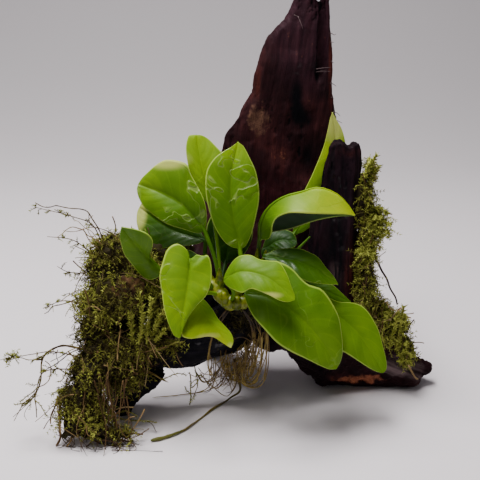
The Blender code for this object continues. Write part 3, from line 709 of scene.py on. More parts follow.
# The stalk, and the midrib that it runs on as under the blade
stalkShape = {
    "steps": 14,
    "waist": 0.2,
    "ribSteps": 18,
    "ribReach": (0.02, 0.9),
    "ribShare": 0.75,
    "ribTip": 0.08,
    "sink": 0.15,
    "sinkOver": 0.12,
    "sides": 10,
}
framePlaces = (0.0, 0.07, 0.2, 0.35, 0.5, 0.65, 0.8, 0.92, 1.0)
leaves = {
    "leaf_a": dict(
        stalk=[(-9, -25, 67), (-10, -17, 82), (-12.5, -14, 102.5)],
        rib=[(-12.5, -14, 102.5), (-17, -9, 119), (-20, -4, 134)],
        left=[(-16, -13.5, 106), (-19.5, -12, 112), (-22.5, -10.5, 117.5), (-24, -8.5, 123.5),
              (-24.5, -6.5, 129), (-23.5, -5, 133.5), (-22, -4.5, 134)],
        right=[(-9.5, -13.5, 104), (-7, -12, 110.5), (-5.5, -10, 118.5), (-7, -8.5, 125),
               (-10.5, -7, 129), (-14.5, -5, 132.5), (-17.5, -4.5, 134)]),
    "leaf_b": dict(
        stalk=[(-1, -28, 62), (1, -27, 75), (0, -22, 85.5)],
        rib=[(0, -22, 85.5), (-3, -18.5, 100.5), (-4, -14, 115.5), (-1, -9, 132)],
        left=[(-3.5, -22.5, 86.5), (-7, -22.5, 89), (-11, -21.5, 95), (-14, -20, 103.5),
              (-15.5, -18, 112), (-15, -15.5, 120), (-11.5, -13.5, 125.5), (-7, -11.5, 128.5),
              (-4, -10.5, 130)],
        right=[(2.5, -22, 87), (5, -21.5, 92), (7, -20.5, 99.5), (8.5, -18.5, 107), (8.5, -16.5, 113),
               (7, -14, 120), (4.5, -12, 125), (2, -10, 129.5), (0.5, -9.5, 131)]),
    "leaf_c": dict(
        stalk=[(-9, -27, 66), (-11, -25, 80), (-16, -20, 93.5)],
        rib=[(-16, -20, 93.5), (-24.5, -17, 103.5), (-35, -13, 109), (-46.5, -10, 112.5)],
        left=[(-19.5, -20.5, 92.5), (-26, -20.5, 94.5), (-32.5, -20, 96.5), (-38.5, -17.5, 99.5),
              (-43.5, -15, 103), (-46, -12.5, 106.5), (-47, -11, 110)],
        right=[(-15, -19, 99.5), (-16, -18, 107), (-19, -16, 113), (-22, -14, 118), (-24, -12.5, 122.5),
               (-28.5, -11.5, 124), (-33.5, -10.5, 124), (-38, -10, 121.5), (-42, -10, 118),
               (-44.5, -10, 115.5)]),
    "leaf_d": dict(
        stalk=[(-15.5, -19, 70.5), (-16.5, -14, 77), (-16, -11, 85.5)],
        rib=[(-16, -11, 85.5), (-32, -5, 88.5), (-47.5, -1, 98.5)],
        left=[(-20.5, -12, 84), (-26, -12, 83), (-32.5, -11.5, 82), (-37.5, -11, 81.5),
              (-42.5, -10, 82.5), (-46.5, -7, 86.5), (-48.5, -4.5, 91.5), (-48.5, -2, 96)],
        right=[(-21, -5.5, 91.5), (-28.5, -2, 96), (-36, -1.5, 100.5), (-42.5, -1, 102),
               (-45.5, -0.5, 101.5)]),
    "leaf_e": dict(
        stalk=[(-15, -22, 70), (-25, -28, 75), (-35, -31, 78)],
        rib=[(-35, -31, 78), (-42.5, -33, 88), (-51.5, -35, 100.5)],
        left=[(-37.5, -31, 75), (-41.5, -31.5, 74.5), (-45, -32, 77.5), (-48.5, -33, 83),
              (-51, -33.5, 87.5), (-52, -34, 92), (-52.5, -34.5, 96.5)],
        right=[(-37.5, -31, 80), (-39.5, -31.5, 83), (-40, -33.5, 87), (-38.5, -35.5, 91), (-38, -37, 95),
               (-40.5, -38, 98.5), (-45, -37, 100), (-49, -36, 100.5)]),
    "leaf_f": dict(
        stalk=[(-12, -26, 67), (-17, -34, 78), (-22, -38, 87)],
        rib=[(-22, -38, 87), (-22.5, -43, 76.5), (-24.5, -48, 66), (-26, -52, 55.5)],
        left=[(-19.5, -37.5, 88.5), (-16, -38, 88), (-14, -38.5, 88.5), (-12.5, -40, 84.5),
              (-12.5, -43, 78.5), (-14.5, -45.5, 73), (-18.5, -47, 69), (-22.5, -49, 64),
              (-25, -51, 58.5)],
        right=[(-23.5, -36.5, 90.5), (-27.5, -36, 93), (-31.5, -37, 91), (-33.5, -39.5, 86.5),
               (-35, -42.5, 80.5), (-34, -45, 74.5), (-33, -48, 68), (-31, -50.5, 61.5),
               (-28.5, -52, 56.5)]),
    "leaf_g": dict(
        stalk=[(-9, -28, 65), (-14, -32, 68), (-19.5, -35, 67.5)],
        rib=[(-19.5, -35, 67.5), (-16, -39, 61), (-10.5, -43, 55), (-4, -46, 47.5)],
        left=[(-16, -35.5, 66), (-12.5, -38, 62.5), (-10, -40, 59), (-6.5, -42, 56), (-4, -43, 53),
              (-3, -44.5, 50)],
        right=[(-23, -40, 65), (-25.5, -45.5, 61), (-25.5, -50, 56), (-22.5, -50, 54),
               (-18.5, -48.5, 53.5), (-15, -46.5, 53.5), (-11.5, -45.5, 52.5), (-8, -45.5, 50)]),
    "leaf_h": dict(
        stalk=[(-4, -29, 62), (-3, -35, 70), (-7, -38, 77)],
        rib=[(-7, -38, 77), (0, -41, 82), (9.5, -44, 81.5), (17.5, -47, 77), (23.5, -49, 72)],
        left=[(-6, -36, 79.5), (-3, -35, 84), (0, -34.5, 86.5), (4.5, -35.5, 87.5), (8.5, -38, 86.5),
              (13, -38.5, 86), (17, -39, 85.5), (20, -42, 81.5), (22, -45.5, 77), (23.5, -47.5, 73.5)],
        right=[(-6, -40.5, 75.5), (-3, -44.5, 75), (1, -48, 75), (4.5, -47.5, 76.5), (8.5, -49, 76),
               (13, -50, 74.5), (17, -50.5, 72.5), (20.5, -50, 71.5)]),
    "leaf_i": dict(
        flatten=0.0, shadedUnder=-0.68,
        stalk=[(11, -22, 67), (8.5, -15.5, 78), (9, -18, 88.5)],
        rib=[(9, -18, 88.5), (9.5, -18.5, 96), (13, -19, 103.5), (19.5, -20, 109), (27.5, -21.5, 112),
             (34.5, -23, 114.5), (42, -24.5, 112.5), (47, -26, 108.5), (51, -27, 103)],
        left=[(13, -19.5, 89.5), (14.5, -22, 94), (16, -25, 100.5), (20.5, -27, 104), (26, -28.5, 105),
              (32.5, -29.5, 105), (39.5, -29.5, 104.5), (46.5, -28.5, 104)],
        right=[(11.5, -17.5, 89.5), (14.5, -16.5, 91.5), (19, -16.5, 92.5), (24.5, -17, 94),
               (30.5, -18.5, 96.5), (37, -20.5, 99), (44, -23, 101.5), (48, -25.5, 102.5)]),
    "leaf_j": dict(
        stalk=[(15, -11, 73.5), (18, -2, 76), (26, 9.5, 80.5)],
        rib=[(26, 9.5, 80.5), (38, 13, 100.5), (45.5, 16, 122), (44, 17.5, 140)],
        left=[(27, 11.5, 90.5), (30.5, 13, 100.5), (34.5, 14.5, 109), (38, 15.5, 117.5),
              (40.5, 16.5, 124.5), (42, 17, 131.5), (43, 17.5, 137)],
        right=[(33.5, 9.5, 84.5), (41.5, 11.5, 95.5), (47.5, 13, 107), (50.5, 14.5, 117),
               (50.5, 15.5, 125.5), (48.5, 16.5, 132.5), (46, 17, 136.5)]),
    "leaf_k": dict(
        stalk=[(13.5, -18, 69), (12, -13, 75), (10.5, -10, 80)],
        rib=[(10.5, -10, 80), (18.5, -10, 85), (26.5, -12, 84.5)],
        left=[(11.5, -8, 83), (13.5, -6.5, 86.5), (17.5, -5.5, 88.5), (21, -6, 89), (24.5, -7.5, 88),
              (26, -9.5, 86)],
        right=[(14, -12.5, 80), (18.5, -14.5, 81.5), (22.5, -15, 82.5), (25.5, -13.5, 83.5)]),
    "leaf_l": dict(
        stalk=[(13, -20, 68), (15, -20, 74), (10.5, -21, 81.5)],
        rib=[(10.5, -21, 81.5), (23, -23, 80.5), (34.5, -25.5, 76.5), (44.5, -28, 70.5)],
        left=[(13, -20, 82.5), (17, -19.5, 84), (22, -19, 84.5), (27, -19, 84.5), (31.5, -20, 83),
              (35.5, -21.5, 81), (39, -24, 77), (42.5, -26, 73.5)],
        right=[(13.5, -24.5, 79), (19, -27.5, 77), (25, -30, 75), (30, -30.5, 73), (35, -30.5, 72),
               (40.5, -29.5, 71)]),
    "leaf_m": dict(
        stalk=[(5, -27.5, 63), (6, -33, 69), (2, -34, 69)],
        rib=[(2, -34, 69), (13.5, -37, 67.5), (26.5, -41, 59.5), (37, -44, 48), (43, -46, 37)],
        left=[(4, -31.5, 73.5), (9, -29.5, 79), (15, -28.5, 82), (20, -29.5, 81), (24, -30.5, 78.5),
              (27.5, -33, 75), (31, -34, 72.5), (36, -34.5, 71), (40, -36, 66.5), (44, -38.5, 59.5),
              (45.5, -41, 52), (46, -43, 45), (45, -44.5, 40)],
        right=[(3, -37.5, 65.5), (6, -42.5, 61), (10.5, -46.5, 57), (16, -49.5, 52), (22, -50, 48),
               (28.5, -49, 44), (34.5, -48.5, 40.5), (39.5, -47, 37.5)]),
    "leaf_n": dict(
        stalk=[(9, -24, 65), (18, -24, 68), (23.5, -24, 65)],
        rib=[(23.5, -24, 65), (39, -26.5, 58), (54.5, -31, 46.5), (66, -36, 29.5)],
        left=[(32.5, -22.5, 65), (39.5, -23.5, 62.5), (45.5, -24.5, 60), (51, -24, 59.5), (56, -24, 58),
              (60, -25.5, 54.5), (64, -28, 48), (66, -31, 41), (67.5, -33.5, 34.5), (67.5, -35, 31)],
        right=[(29, -30.5, 58), (36.5, -36, 50), (42.5, -38, 44), (48, -38.5, 41), (53.5, -38, 37),
               (59, -37.5, 33), (63, -36.5, 30.5)]),
    "leaf_o": dict(
        stalk=[(10.5, -22, 66), (18, -18, 70), (22, -14, 68.5)],
        rib=[(22, -14, 68.5), (35.5, -17.5, 64.5), (51.5, -22, 59)],
        left=[(26, -12.5, 69.5), (32, -13, 68.5), (38, -15, 66.5), (43.5, -16.5, 65), (47.5, -19, 62)],
        right=[(25.5, -17.5, 65.5), (31, -21.5, 62.5), (37.5, -23, 60.5), (44, -23.5, 59),
               (48.5, -23, 58.5)]),
    "leaf_p": dict(
        stalk=[(-8, -27, 64), (-8, -15, 69), (-7, -9, 73)],
        rib=[(-7, -9, 73), (-5, -3, 86), (-3, 3, 100)],
        left=[(-13, -8, 77), (-15.5, -5.5, 83), (-16, -3.5, 88.5), (-14, -1, 93.5), (-9.5, 1.5, 98.5)],
        right=[(-0.5, -8.5, 75), (4, -6.5, 80), (6, -4.5, 85.5), (5.5, -2, 91), (3, 1, 96.5)]),
    "leaf_q": dict(
        stalk=[(-12.5, -24, 68.5), (-18, -21, 73), (-20, -19, 75)],
        rib=[(-20, -19, 75), (-24, -19, 79), (-30, -20, 81)],
        left=[(-22.5, -20, 74.5), (-25, -21, 75.5), (-25.5, -22, 76), (-26.5, -22.5, 77.5),
              (-29, -22, 79)],
        right=[(-19, -18, 77.5), (-19.5, -17.5, 80.5), (-23, -16.5, 82.5), (-26, -17, 83),
               (-28.5, -18, 82.5)]),
}
# How young each blade looks at even places from its stalk to its tip, 0 deep green to 1 yellow,
# and how much younger its right side is than its left. These are partly the leaves' own greens and
# partly painted light and shade: blades in shade darker, lit tops and tips lighter, one side lighter
leafAgesAndShade = {
    "leaf_a": ((0.50, 0.64, 0.68, 0.78), 0.0),
    "leaf_b": ((0.44, 0.46, 0.48, 0.78), 0.0),
    "leaf_c": ((0.34, 0.42, 0.52, 0.68), 0.04),
    "leaf_d": ((0.18, 0.22, 0.28, 0.45), 0.0),
    "leaf_e": ((0.38, 0.42, 0.44, 0.42), -0.03),
    "leaf_f": ((0.56, 0.60, 0.62, 0.60), 0.03),
    "leaf_g": ((0.66, 0.60, 0.80, 0.98), 0.14),
    "leaf_h": ((0.50, 0.54, 0.56, 0.66), 0.0),
    "leaf_i": ((0.28, 0.48, 0.85, 0.98), -0.05),
    "leaf_j": ((0.35, 0.55, 0.80, 0.90), 0.0),
    "leaf_k": ((0.20, 0.16, 0.12, 0.10), 0.0),
    "leaf_l": ((0.20, 0.26, 0.36, 0.42), 0.0),
    "leaf_m": ((0.38, 0.45, 0.50, 0.52), 0.03),
    "leaf_n": ((0.42, 0.50, 0.54, 0.52), 0.0),
    "leaf_o": ((0.20, 0.30, 0.35, 0.35), 0.0),
    "leaf_p": ((0.10, 0.14, 0.18, 0.20), 0.0),
    "leaf_q": ((0.15, 0.20, 0.20, 0.20), 0.0),
}
# How much water stands on the wettest blades, and on the others
leafWetness = {
    "leaf_b": 1.0,
    "leaf_c": 1.0,
    "leaf_f": 0.9,
    "leaf_g": 0.5,
    "leaf_l": 0.4,
    "leaf_m": 0.3,
    "leaf_h": 0.3,
}
plainWetness = 0.15
# Pale places on the blades, painted sheen and light glowing through their thin ends and rolled edges: centre,
# half sizes, strength
paleSheenOvals = [
    ((-33, -10.5, 124), (15, 8, 6), 1.5),
    ((-48.5, -3, 96), (6, 8, 14), 1.8),
    ((45.5, 17, 134), (8, 6, 14), 1.2),
    ((12, -50, 74.5), (10, 3, 2.2), 1.3),
    ((-14, -47, 53.5), (14, 4, 2.2), 1.1),
    ((-4, -46, 48), (3, 3, 3), 1.0),
    ((24, -28.5, 104.5), (26, 3, 2.2), 0.7),
]
leafGreens = [
    (0.00, (0.0034, 0.0172, 0.0004)),
    (0.10, (0.0069, 0.0318, 0.0006)),
    (0.30, (0.0284, 0.0843, 0.0007)),
    (0.45, (0.0619, 0.1479, 0.0006)),
    (0.60, (0.1187, 0.2305, 0.0004)),
    (0.75, (0.1909, 0.3165, 0.0002)),
    (0.90, (0.2623, 0.3741, 0.0000)),
    (1.00, (0.3182, 0.4042, 0.0000)),
]
rimColour = (0.42, 0.52, 0.14)
paleSheenColour = (0.47, 0.50, 0.12)
# Painted highlight along the edges of the water film
brimHighlightColour = (0.34, 0.43, 0.12)


def leafFinish():
    finish = Finish("anubiasLeaf", Specular_IOR_Level=0.15, Subsurface_Weight=0.12,
                    Subsurface_Radius=(0.7, 1.0, 0.05), Subsurface_Scale=0.0018,
                    Coat_Roughness=0.1, Coat_IOR=1.33)
    along = finish.tone("along")
    side = abs(finish.tone("across"))
    cloud = finish.grain(finish.place(), 80.0, 3.0)
    fleck = finish.grain(finish.place(), 1500.0, 2.0)
    pairs = (along * leafShape["veinPairs"] - side * leafShape["veinLean"]) * (2 * math.pi)
    veins = pairs.sine().span(0.8, 1.0) * side.span(0.03, 0.2) * (1 - side.span(0.8, 1.0))
    rib = 1 - side.span(0.012, 0.05)
    rim = side.span(0.93, 0.985)
    # The blade's green, partly its own age and partly painted light and shade
    age = finish.tone("age") + (cloud - 0.5) * 0.28 + veins * 0.035 + rib * 0.04 + rim * 0.26
    base = finish.ramp(age - fleck.span(0.60, 0.75) * 0.05, leafGreens)
    base = finish.blend(rim * 0.35, base, rimColour)
    # Painted sheen: pale places where light catches the blades' edges and shines through their ends
    base = finish.blend(finish.tone("pale").span(0.1, 0.95) * 0.85, base, paleSheenColour)
    film = finish.grain(finish.place(), 70.0, 1.0, distortion=1.5)
    wetness = finish.tone("wetness") * finish.grain(finish.place(), 42.0, 1.0).span(0.47, 0.56)
    pool = film.span(0.56, 0.58) * wetness
    # Painted highlight: the edges of the water film are lightened, as the light they catch
    brimHighlight = film.span(0.525, 0.565) * (1 - film.span(0.565, 0.60)) * wetness
    base = finish.blend(brimHighlight * 0.3, base, brimHighlightColour)
    rough = cloud.span(0.35, 0.65, 0.55, 0.42) - pool * 0.25
    soft = finish.bump(pool, 0.00035)
    soft = finish.bump(fleck, 0.00003, soft)
    return finish.show(Base_Color=base, Roughness=rough, Coat_Weight=pool * 0.6 + 0.02, Normal=soft)


def bladeFrames(leaf, places):
    # Midrib, the way to each margin, and the way the upper side faces
    margins = [[leaf["rib"][0], *leaf[side], leaf["rib"][-1]] for side in ("left", "right")]
    coarse = [smoothPath(path, framePlaces) for path in (leaf["rib"], *margins)]
    across = coarse[2] - coarse[1]
    across[0], across[-1] = across[1], across[-2]
    across = unit(across)
    up = unit(np.cross(across, np.gradient(coarse[0], axis=0)))
    across, up = [
        unit(np.stack([np.interp(places, framePlaces, value[:, axis]) for axis in range(3)], axis=1))
        for value in (across, up)]
    rib, left, right = [smoothPath(path, places) for path in (leaf["rib"], *margins)]
    fold = (((left + right) / 2 - rib) * up).sum(axis=1) * np.sin(math.pi * places) ** 0.5
    rib = rib + up * (fold * leaf.get("flatten", leafShape["flatten"]))[:, None]
    return rib, left - rib, right - rib, across, up


def makeBlade(name, leaf, seed, agesAndShade=((0.4, 0.4, 0.4, 0.4), 0.0)):
    rows, columns = leafShape["rows"], leafShape["columns"]
    deselectAll()
    bpy.ops.mesh.primitive_grid_add(x_subdivisions=columns, y_subdivisions=rows, size=2)
    item = bpy.context.object
    item.name = name
    flat = vertexArray(item.data)
    across = flat[:, 0]
    reach = np.abs(across)
    # Rows crowd towards both ends, where the outline turns fast
    even = (flat[:, 1] + 1) / 2
    crowded = 0.5 - 0.5 * np.cos(math.pi * even)
    along = np.round(even + leafShape["crowding"] * (crowded - even), 6)
    rowPlaces = np.unique(along)
    row = np.searchsorted(rowPlaces, along)
    rib, toLeft, toRight, sideways, up = bladeFrames(leaf, rowPlaces)
    least = (leafShape["stalk"] * 0.8 * (1 - rowPlaces) + leafShape["leastHalfWidth"])[:, None]
    toRight = toRight + sideways * np.maximum(0, least - (toRight * sideways).sum(axis=1)[:, None])
    toLeft = toLeft - sideways * np.maximum(0, least + (toLeft * sideways).sum(axis=1)[:, None])
    margin = np.where((across > 0)[:, None], toRight[row], toLeft[row])
    half = np.linalg.norm(margin, axis=1)
    width = np.linalg.norm(toRight - toLeft, axis=1).max()
    inner = np.sin(math.pi * np.clip(along, 0, 1)) ** 0.6
    # Each half swells between rib and margin, with waves along it and quilting between the veins
    lift = leafShape["bulge"] * half * np.sin(math.pi * reach ** 0.8)
    swing = 2 * math.pi * (leafShape["waveCount"] * along + 0.23 * np.sign(across)) + seed * 1.7
    wave = leafShape["wave"] * reach ** 2 * np.sin(swing)
    lift += wave * inner * min(1.0, width / leafShape["fullWaveWidth"])
    veins = leafShape["veinPairs"] * along - leafShape["veinLean"] * reach
    quilt = -leafShape["vein"] * np.cos(2 * math.pi * (veins - 0.25))
    quilt *= np.clip(reach * 6, 0, 1) * (1 - reach ** 4)
    groove = -leafShape["groove"] * np.exp(-(across * half / leafShape["grooveWidth"]) ** 2) * (1 - along)
    lift += quilt * inner + groove
    points = rib[row] + margin * reach[:, None] + up[row] * lift[:, None]
    buckle = leafShape["buckle"] * fieldNoise(points * mm, leafShape["buckleWaves"], seed * 3.0)
    points += up[row] * (buckle * np.sin(math.pi * reach) * inner)[:, None]
    setVertices(item.data, toFrame(points))
    values, tilt = agesAndShade
    age = np.interp(along, np.linspace(0, 1, len(values)), values) + tilt * across
    # Painted shade: the half that folds under on one blade is darkened, as it turns away from the light
    age += leaf.get("shadedUnder", 0.0) * np.clip((across - 0.3) / 0.25, 0, 1)
    setTones(item.data, along=along, across=across, age=age, pale=patches(toFrame(points), paleSheenOvals),
             wetness=leafWetness.get(name.removesuffix("_look"), plainWetness))
    applyModifier(item, "SOLIDIFY", thickness=leafShape["thickness"] * mm, offset=0.0)
    item.data.shade_smooth()
    return item


def makeStalk(name, leaf, agesAndShade):
    # The stalk swells at the blade, then runs on under it as the midrib
    stalkPlaces = np.linspace(0, 1, stalkShape["steps"])
    stalk = smoothPath(leaf["stalk"], stalkPlaces)
    ribPlaces = np.linspace(*stalkShape["ribReach"], stalkShape["ribSteps"])
    rib, toLeft, toRight, sideways, up = bladeFrames(leaf, ribPlaces)
    radii = leafShape["stalk"] * (1.0 - stalkShape["waist"] * np.sin(math.pi * stalkPlaces))
    ribRadii = leafShape["stalk"] * stalkShape["ribShare"] * (1 - ribPlaces) ** 1.1 + stalkShape["ribTip"]
    sink = np.minimum(1, ribPlaces / stalkShape["sinkOver"]) * (ribRadii * 0.5 + stalkShape["sink"])
    points = np.concatenate([stalk[:-1], rib - up * sink[:, None]])
    radii = np.concatenate([radii[:-1], ribRadii])
    item = tubeAlong(name + "_stalk", toFrame(points), radii, stalkShape["sides"])
    nearest = nearestSteps(vertexArray(item.data) / mm - layoutShift, points)
    stalkAges = np.full(len(stalk) - 1, 0.7 * agesAndShade[0] + 0.12)
    ribAges = np.interp(ribPlaces, np.linspace(0, 1, len(agesAndShade)), agesAndShade)
    setTones(item.data, age=np.concatenate([stalkAges, ribAges])[nearest], along=0.25, across=0.5,
             pale=0.0, wetness=0.1)
    return item


def makeLeaves(finish):
    for index, (name, leaf) in enumerate(leaves.items()):
        blade = makeBlade(name + "_look", leaf, index + 1, leafAgesAndShade[name])
        stalk = makeStalk(name, leaf, leafAgesAndShade[name][0])
        joinInto(blade, [stalk])
        finishPiece(blade, finish, [name])
    print("leaves:", len(leaves))


# The creeping stem, its rings and sheaths, and the rolled young leaf

stem = {
    "path": [(-17, -19, 71), (-11, -26, 67), (-5, -29, 62), (3, -28, 62.5), (10, -23, 66), (14, -16, 70),
             (15, -10, 74)],
    "steps": 90,
    "sides": 20,
    "radius": 3.4,
    "taper": 0.1,
    # The share of the radius that is left at the steps nearest each end
    "ends": [0.35, 0.68, 0.85, 0.94, 0.99],
    "rings": 9,
    "ringWidth": 0.10,
    "ringDepth": 0.09,
    "swelling": 0.06,
    "lumps": 0.6,
    "lumpWaves": 220.0,
}
# Short stumps of old stalks, ringed at their feet: path, radius
nubs = [
    ([(-6.5, -30.5, 61), (-7, -31, 64.5), (-7.5, -31, 68)], 2.0),
    ([(-1.5, -31, 60), (-1.5, -31.5, 62.5), (-1, -31.5, 66)], 2.2),
]
nubShape = {"steps": 14, "sides": 12, "taper": 0.25, "rings": 0.10, "foot": 0.8, "top": [0.8, 0.4]}
youngLeaf = {
    "path": [(14, -15, 71), (20, -12, 74), (26, -9, 79), (33, -7, 86)],
    "steps": 24,
    "sides": 10,
    "radius": 1.3,
    "taper": 0.75,
    "rolls": 0.08,
}
# Papery sheaths at the feet of some stalks: foot, tip, width
sheaths = [
    ((6, -24.5, 68), (8, -18, 84), 5.0),
    ((10, -21, 71), (12, -17, 83), 4.2),
    ((-2, -30.5, 64), (0.5, -29, 74), 4.6),
    ((-9, -28, 68), (-9.5, -27, 78), 4.2),
    ((3, -30.5, 62), (5, -31, 69), 4.4),
]
stemGreens = [(0.35, (0.045, 0.062, 0.001)), (0.5, (0.105, 0.135, 0.002)), (0.66, (0.20, 0.22, 0.012))]
ringColour = (0.06, 0.045, 0.008)
speckColour = (0.05, 0.035, 0.008)


def stemFinish():
    finish = Finish("creepingStem", Specular_IOR_Level=0.2, Subsurface_Weight=0.12,
                    Subsurface_Radius=(0.7, 1.0, 0.2), Subsurface_Scale=0.002, Coat_Weight=0.05,
                    Coat_Roughness=0.2)
    cloud = finish.grain(finish.place(), 220.0, 4.0)
    speck = finish.grain(finish.place(), 1300.0, 3.0)
    base = finish.ramp(cloud, stemGreens)
    base = finish.blend(finish.tone("ring").span(0.2, 0.9) * 0.6, base, ringColour)
    base = finish.blend(speck.span(0.6, 0.72) * 0.35, base, speckColour)
    rough = cloud.span(0.3, 0.7, 0.25, 0.45)
    return finish.show(Base_Color=base, Roughness=rough, Normal=finish.bump(speck, 0.0001))


def sheathBlade(foot, tip, width):
    # A narrow blade wrapped a little round the stalk behind it
    foot, tip = np.array(foot, dtype=float), np.array(tip, dtype=float)
    middle = foot * 0.5 + tip * 0.5 + np.array([0, -0.7, 0])
    side = unit(np.cross(tip - foot, (0.0, -1.0, 0.2))) * width / 2
    wrap = np.array([0, 1.6, 0])
    low = foot * 0.75 + tip * 0.25
    return {"rib": [foot, middle, tip], "left": [low - side + wrap, middle - side * 0.8 + wrap],
            "right": [low + side + wrap, middle + side * 0.8 + wrap]}


def makeNubs():
    items = []
    for path, radius in nubs:
        places = np.linspace(0, 1, nubShape["steps"])
        radii = radius * (1 - nubShape["taper"] * places + nubShape["rings"] * np.sin(places * 14))
        radii[0] *= nubShape["foot"]
        radii[-2:] *= nubShape["top"]
        item = tubeAlong("nub", toFrame(smoothPath(path, places)), radii, nubShape["sides"])
        setTone(item.data, "ring", 0.0)
        items.append(item)
    return items


def makeRhizome():
    places = np.linspace(0, 1, stem["steps"])
    points = smoothPath(stem["path"], places)
    phase = places * stem["rings"]
    ringLine = np.clip(1 - np.abs(phase - np.round(phase)) / stem["ringWidth"], 0, 1)
    radii = stem["radius"] * (1 - stem["taper"] * places)
    radii *= 1 - stem["ringDepth"] * ringLine + stem["swelling"] * np.sin(phase * 2 * math.pi)
    ends = stem["ends"]
    radii[:len(ends)] *= ends
    radii[-len(ends):] *= ends[::-1]
    item = tubeAlong("rhizome_look", toFrame(points), radii, stem["sides"])
    spots = vertexArray(item.data)
    lumps = stem["lumps"] * fieldNoise(spots, stem["lumpWaves"], 8.0, 2)
    setVertices(item.data, spots + normalArray(item.data) * (lumps * mm)[:, None])
    setTone(item.data, "ring", ringLine[nearestSteps(spots, toFrame(points))])
    blades = [makeBlade("sheath", sheathBlade(*row), index) for index, row in enumerate(sheaths)]
    joinInto(item, blades + makeNubs())
    finishPiece(item, stemFinish(), ["rhizome"])
    print("creeping stem made")


def makeYoungLeaf(finish):
    places = np.linspace(0, 1, youngLeaf["steps"])
    radii = youngLeaf["radius"] * (1 - youngLeaf["taper"] * places ** 1.6)
    radii *= 1 + youngLeaf["rolls"] * np.sin(places * 9)
    line = toFrame(smoothPath(youngLeaf["path"], places))
    item = tubeAlong("young_leaf_look", line, radii, youngLeaf["sides"])
    setTones(item.data, along=0.4, across=0.5, age=0.3, pale=0.0, wetness=0.1)
    finishPiece(item, finish, ["young_leaf"])
    print("young leaf made")


# Thin strands and small leaves, made in numbers: roots, moss stems and their leaflets

leafletShape = {
    "length": 1.45,
    "radius": 0.29,
    "flatness": 0.45,
    "tipTone": 0.10,
    # On a frond: how far the leaflets lean forward and up, their sizes, and their tones along it, darker near
    # its foot partly as painted shade deep in the mat
    "lean": (0.4, 1.2),
    "lift": 0.45,
    "sizes": (0.65, 1.2),
    "tones": (-0.06, 0.24),
}
# Strands stay this far above the floor, and those that pass the front limit are pressed flat to it
strandLimits = {"floor": 0.05, "front": -59.0, "give": 0.02}


def carriedFrames(lines):
    # Directions along each line, and two across it that don't twist from step to step
    forward = unit(np.gradient(lines, axis=1))
    start = np.where(np.abs(forward[:, 0, 2:3]) > 0.8, [1.0, 0.0, 0.0], [0.0, 0.0, 1.0])
    side = np.empty_like(forward)
    previous = start
    for step in range(lines.shape[1]):
        along = forward[:, step]
        previous = unit(previous - (previous * along).sum(axis=1, keepdims=True) * along)
        side[:, step] = previous
    return forward, side, np.cross(forward, side)


def strandPart(lines, radii, sides, tones, tans):
    # Tubes along lines [strand, step, xyz] in millimetres, closed at both ends
    count, steps = lines.shape[:2]
    forward, side, up = carriedFrames(lines)
    radii = np.broadcast_to(radii, (count, steps))[..., None]
    rings = [lines + (side * math.cos(turn) + up * math.sin(turn)) * radii
             for turn in np.arange(sides) * 2 * math.pi / sides]
    points = np.stack(rings, axis=2).reshape(count, steps * sides, 3)
    faces = []
    for step in range(steps - 1):
        for corner in range(sides):
            low, after = step * sides + corner, step * sides + (corner + 1) % sides
            faces += [(low, after, after + sides), (low, after + sides, low + sides)]
    last = (steps - 1) * sides
    for corner in range(1, sides - 1):
        faces += [(0, corner + 1, corner), (last, last + corner, last + corner + 1)]
    pointTones = np.repeat(np.broadcast_to(tones, (count, steps)), sides, axis=1)
    pointTans = np.repeat(np.broadcast_to(tans, (count, steps)), sides, axis=1)
    return points, np.array(faces), pointTones, pointTans


def makeLeaflet():
    # One small pointed moss leaf: width along X, thickness along Y, its foot at the origin
    deselectAll()
    bpy.ops.mesh.primitive_cone_add(vertices=3, radius1=leafletShape["radius"], radius2=0.0,
                                    depth=leafletShape["length"])
    item = bpy.context.object
    points = vertexArray(item.data) * (1.0, leafletShape["flatness"], 1.0)
    shape = points + (0.0, 0.0, leafletShape["length"] / 2), triangleArray(item.data)
    bpy.data.objects.remove(item)
    return shape


def leafletPart(feet, points, ups, sizes, tones):
    # Copies of the leaflet: feet, directions and upper sides [leaflet, xyz]
    shape, faces = leaflet
    across = unit(np.cross(ups, points))
    ups = np.cross(points, across)
    scaled = shape[None] * sizes[:, None, None]
    spots = (feet[:, None] + scaled[..., 0:1] * across[:, None] + scaled[..., 1:2] * ups[:, None]
             + scaled[..., 2:3] * points[:, None])
    tipTone = shape[:, 2] / leafletShape["length"] * leafletShape["tipTone"]
    return spots, faces, tones[:, None] + tipTone[None], np.zeros((len(feet), len(shape)))


def leafyPart(lines, rng, tones):
    # Leaflets in two rows along lines [strand, step, xyz], from their second steps on
    forward, side, up = carriedFrames(lines)
    spin = rng.uniform(0, 2 * math.pi, size=(len(lines), 1, 1))
    flatSide = side * np.cos(spin) + up * np.sin(spin)
    flatUp = np.cross(forward, flatSide)
    count = lines.shape[1] - 1
    parts = []
    for sign in (-1.0, 1.0):
        lean = rng.uniform(*leafletShape["lean"], size=(*lines.shape[:2], 1))
        lift = rng.normal(size=(*lines.shape[:2], 1)) * leafletShape["lift"]
        points = unit(flatSide * sign + flatUp * lift + forward * lean)
        size = rng.uniform(*leafletShape["sizes"], size=(len(lines), count)).ravel()
        tone = (tones[:, None] + np.linspace(*leafletShape["tones"], count)[None]).ravel()
        parts.append(leafletPart(*[values[:, 1:].reshape(-1, 3) for values in (lines, points, flatUp)],
                                 size, tone))
    return parts


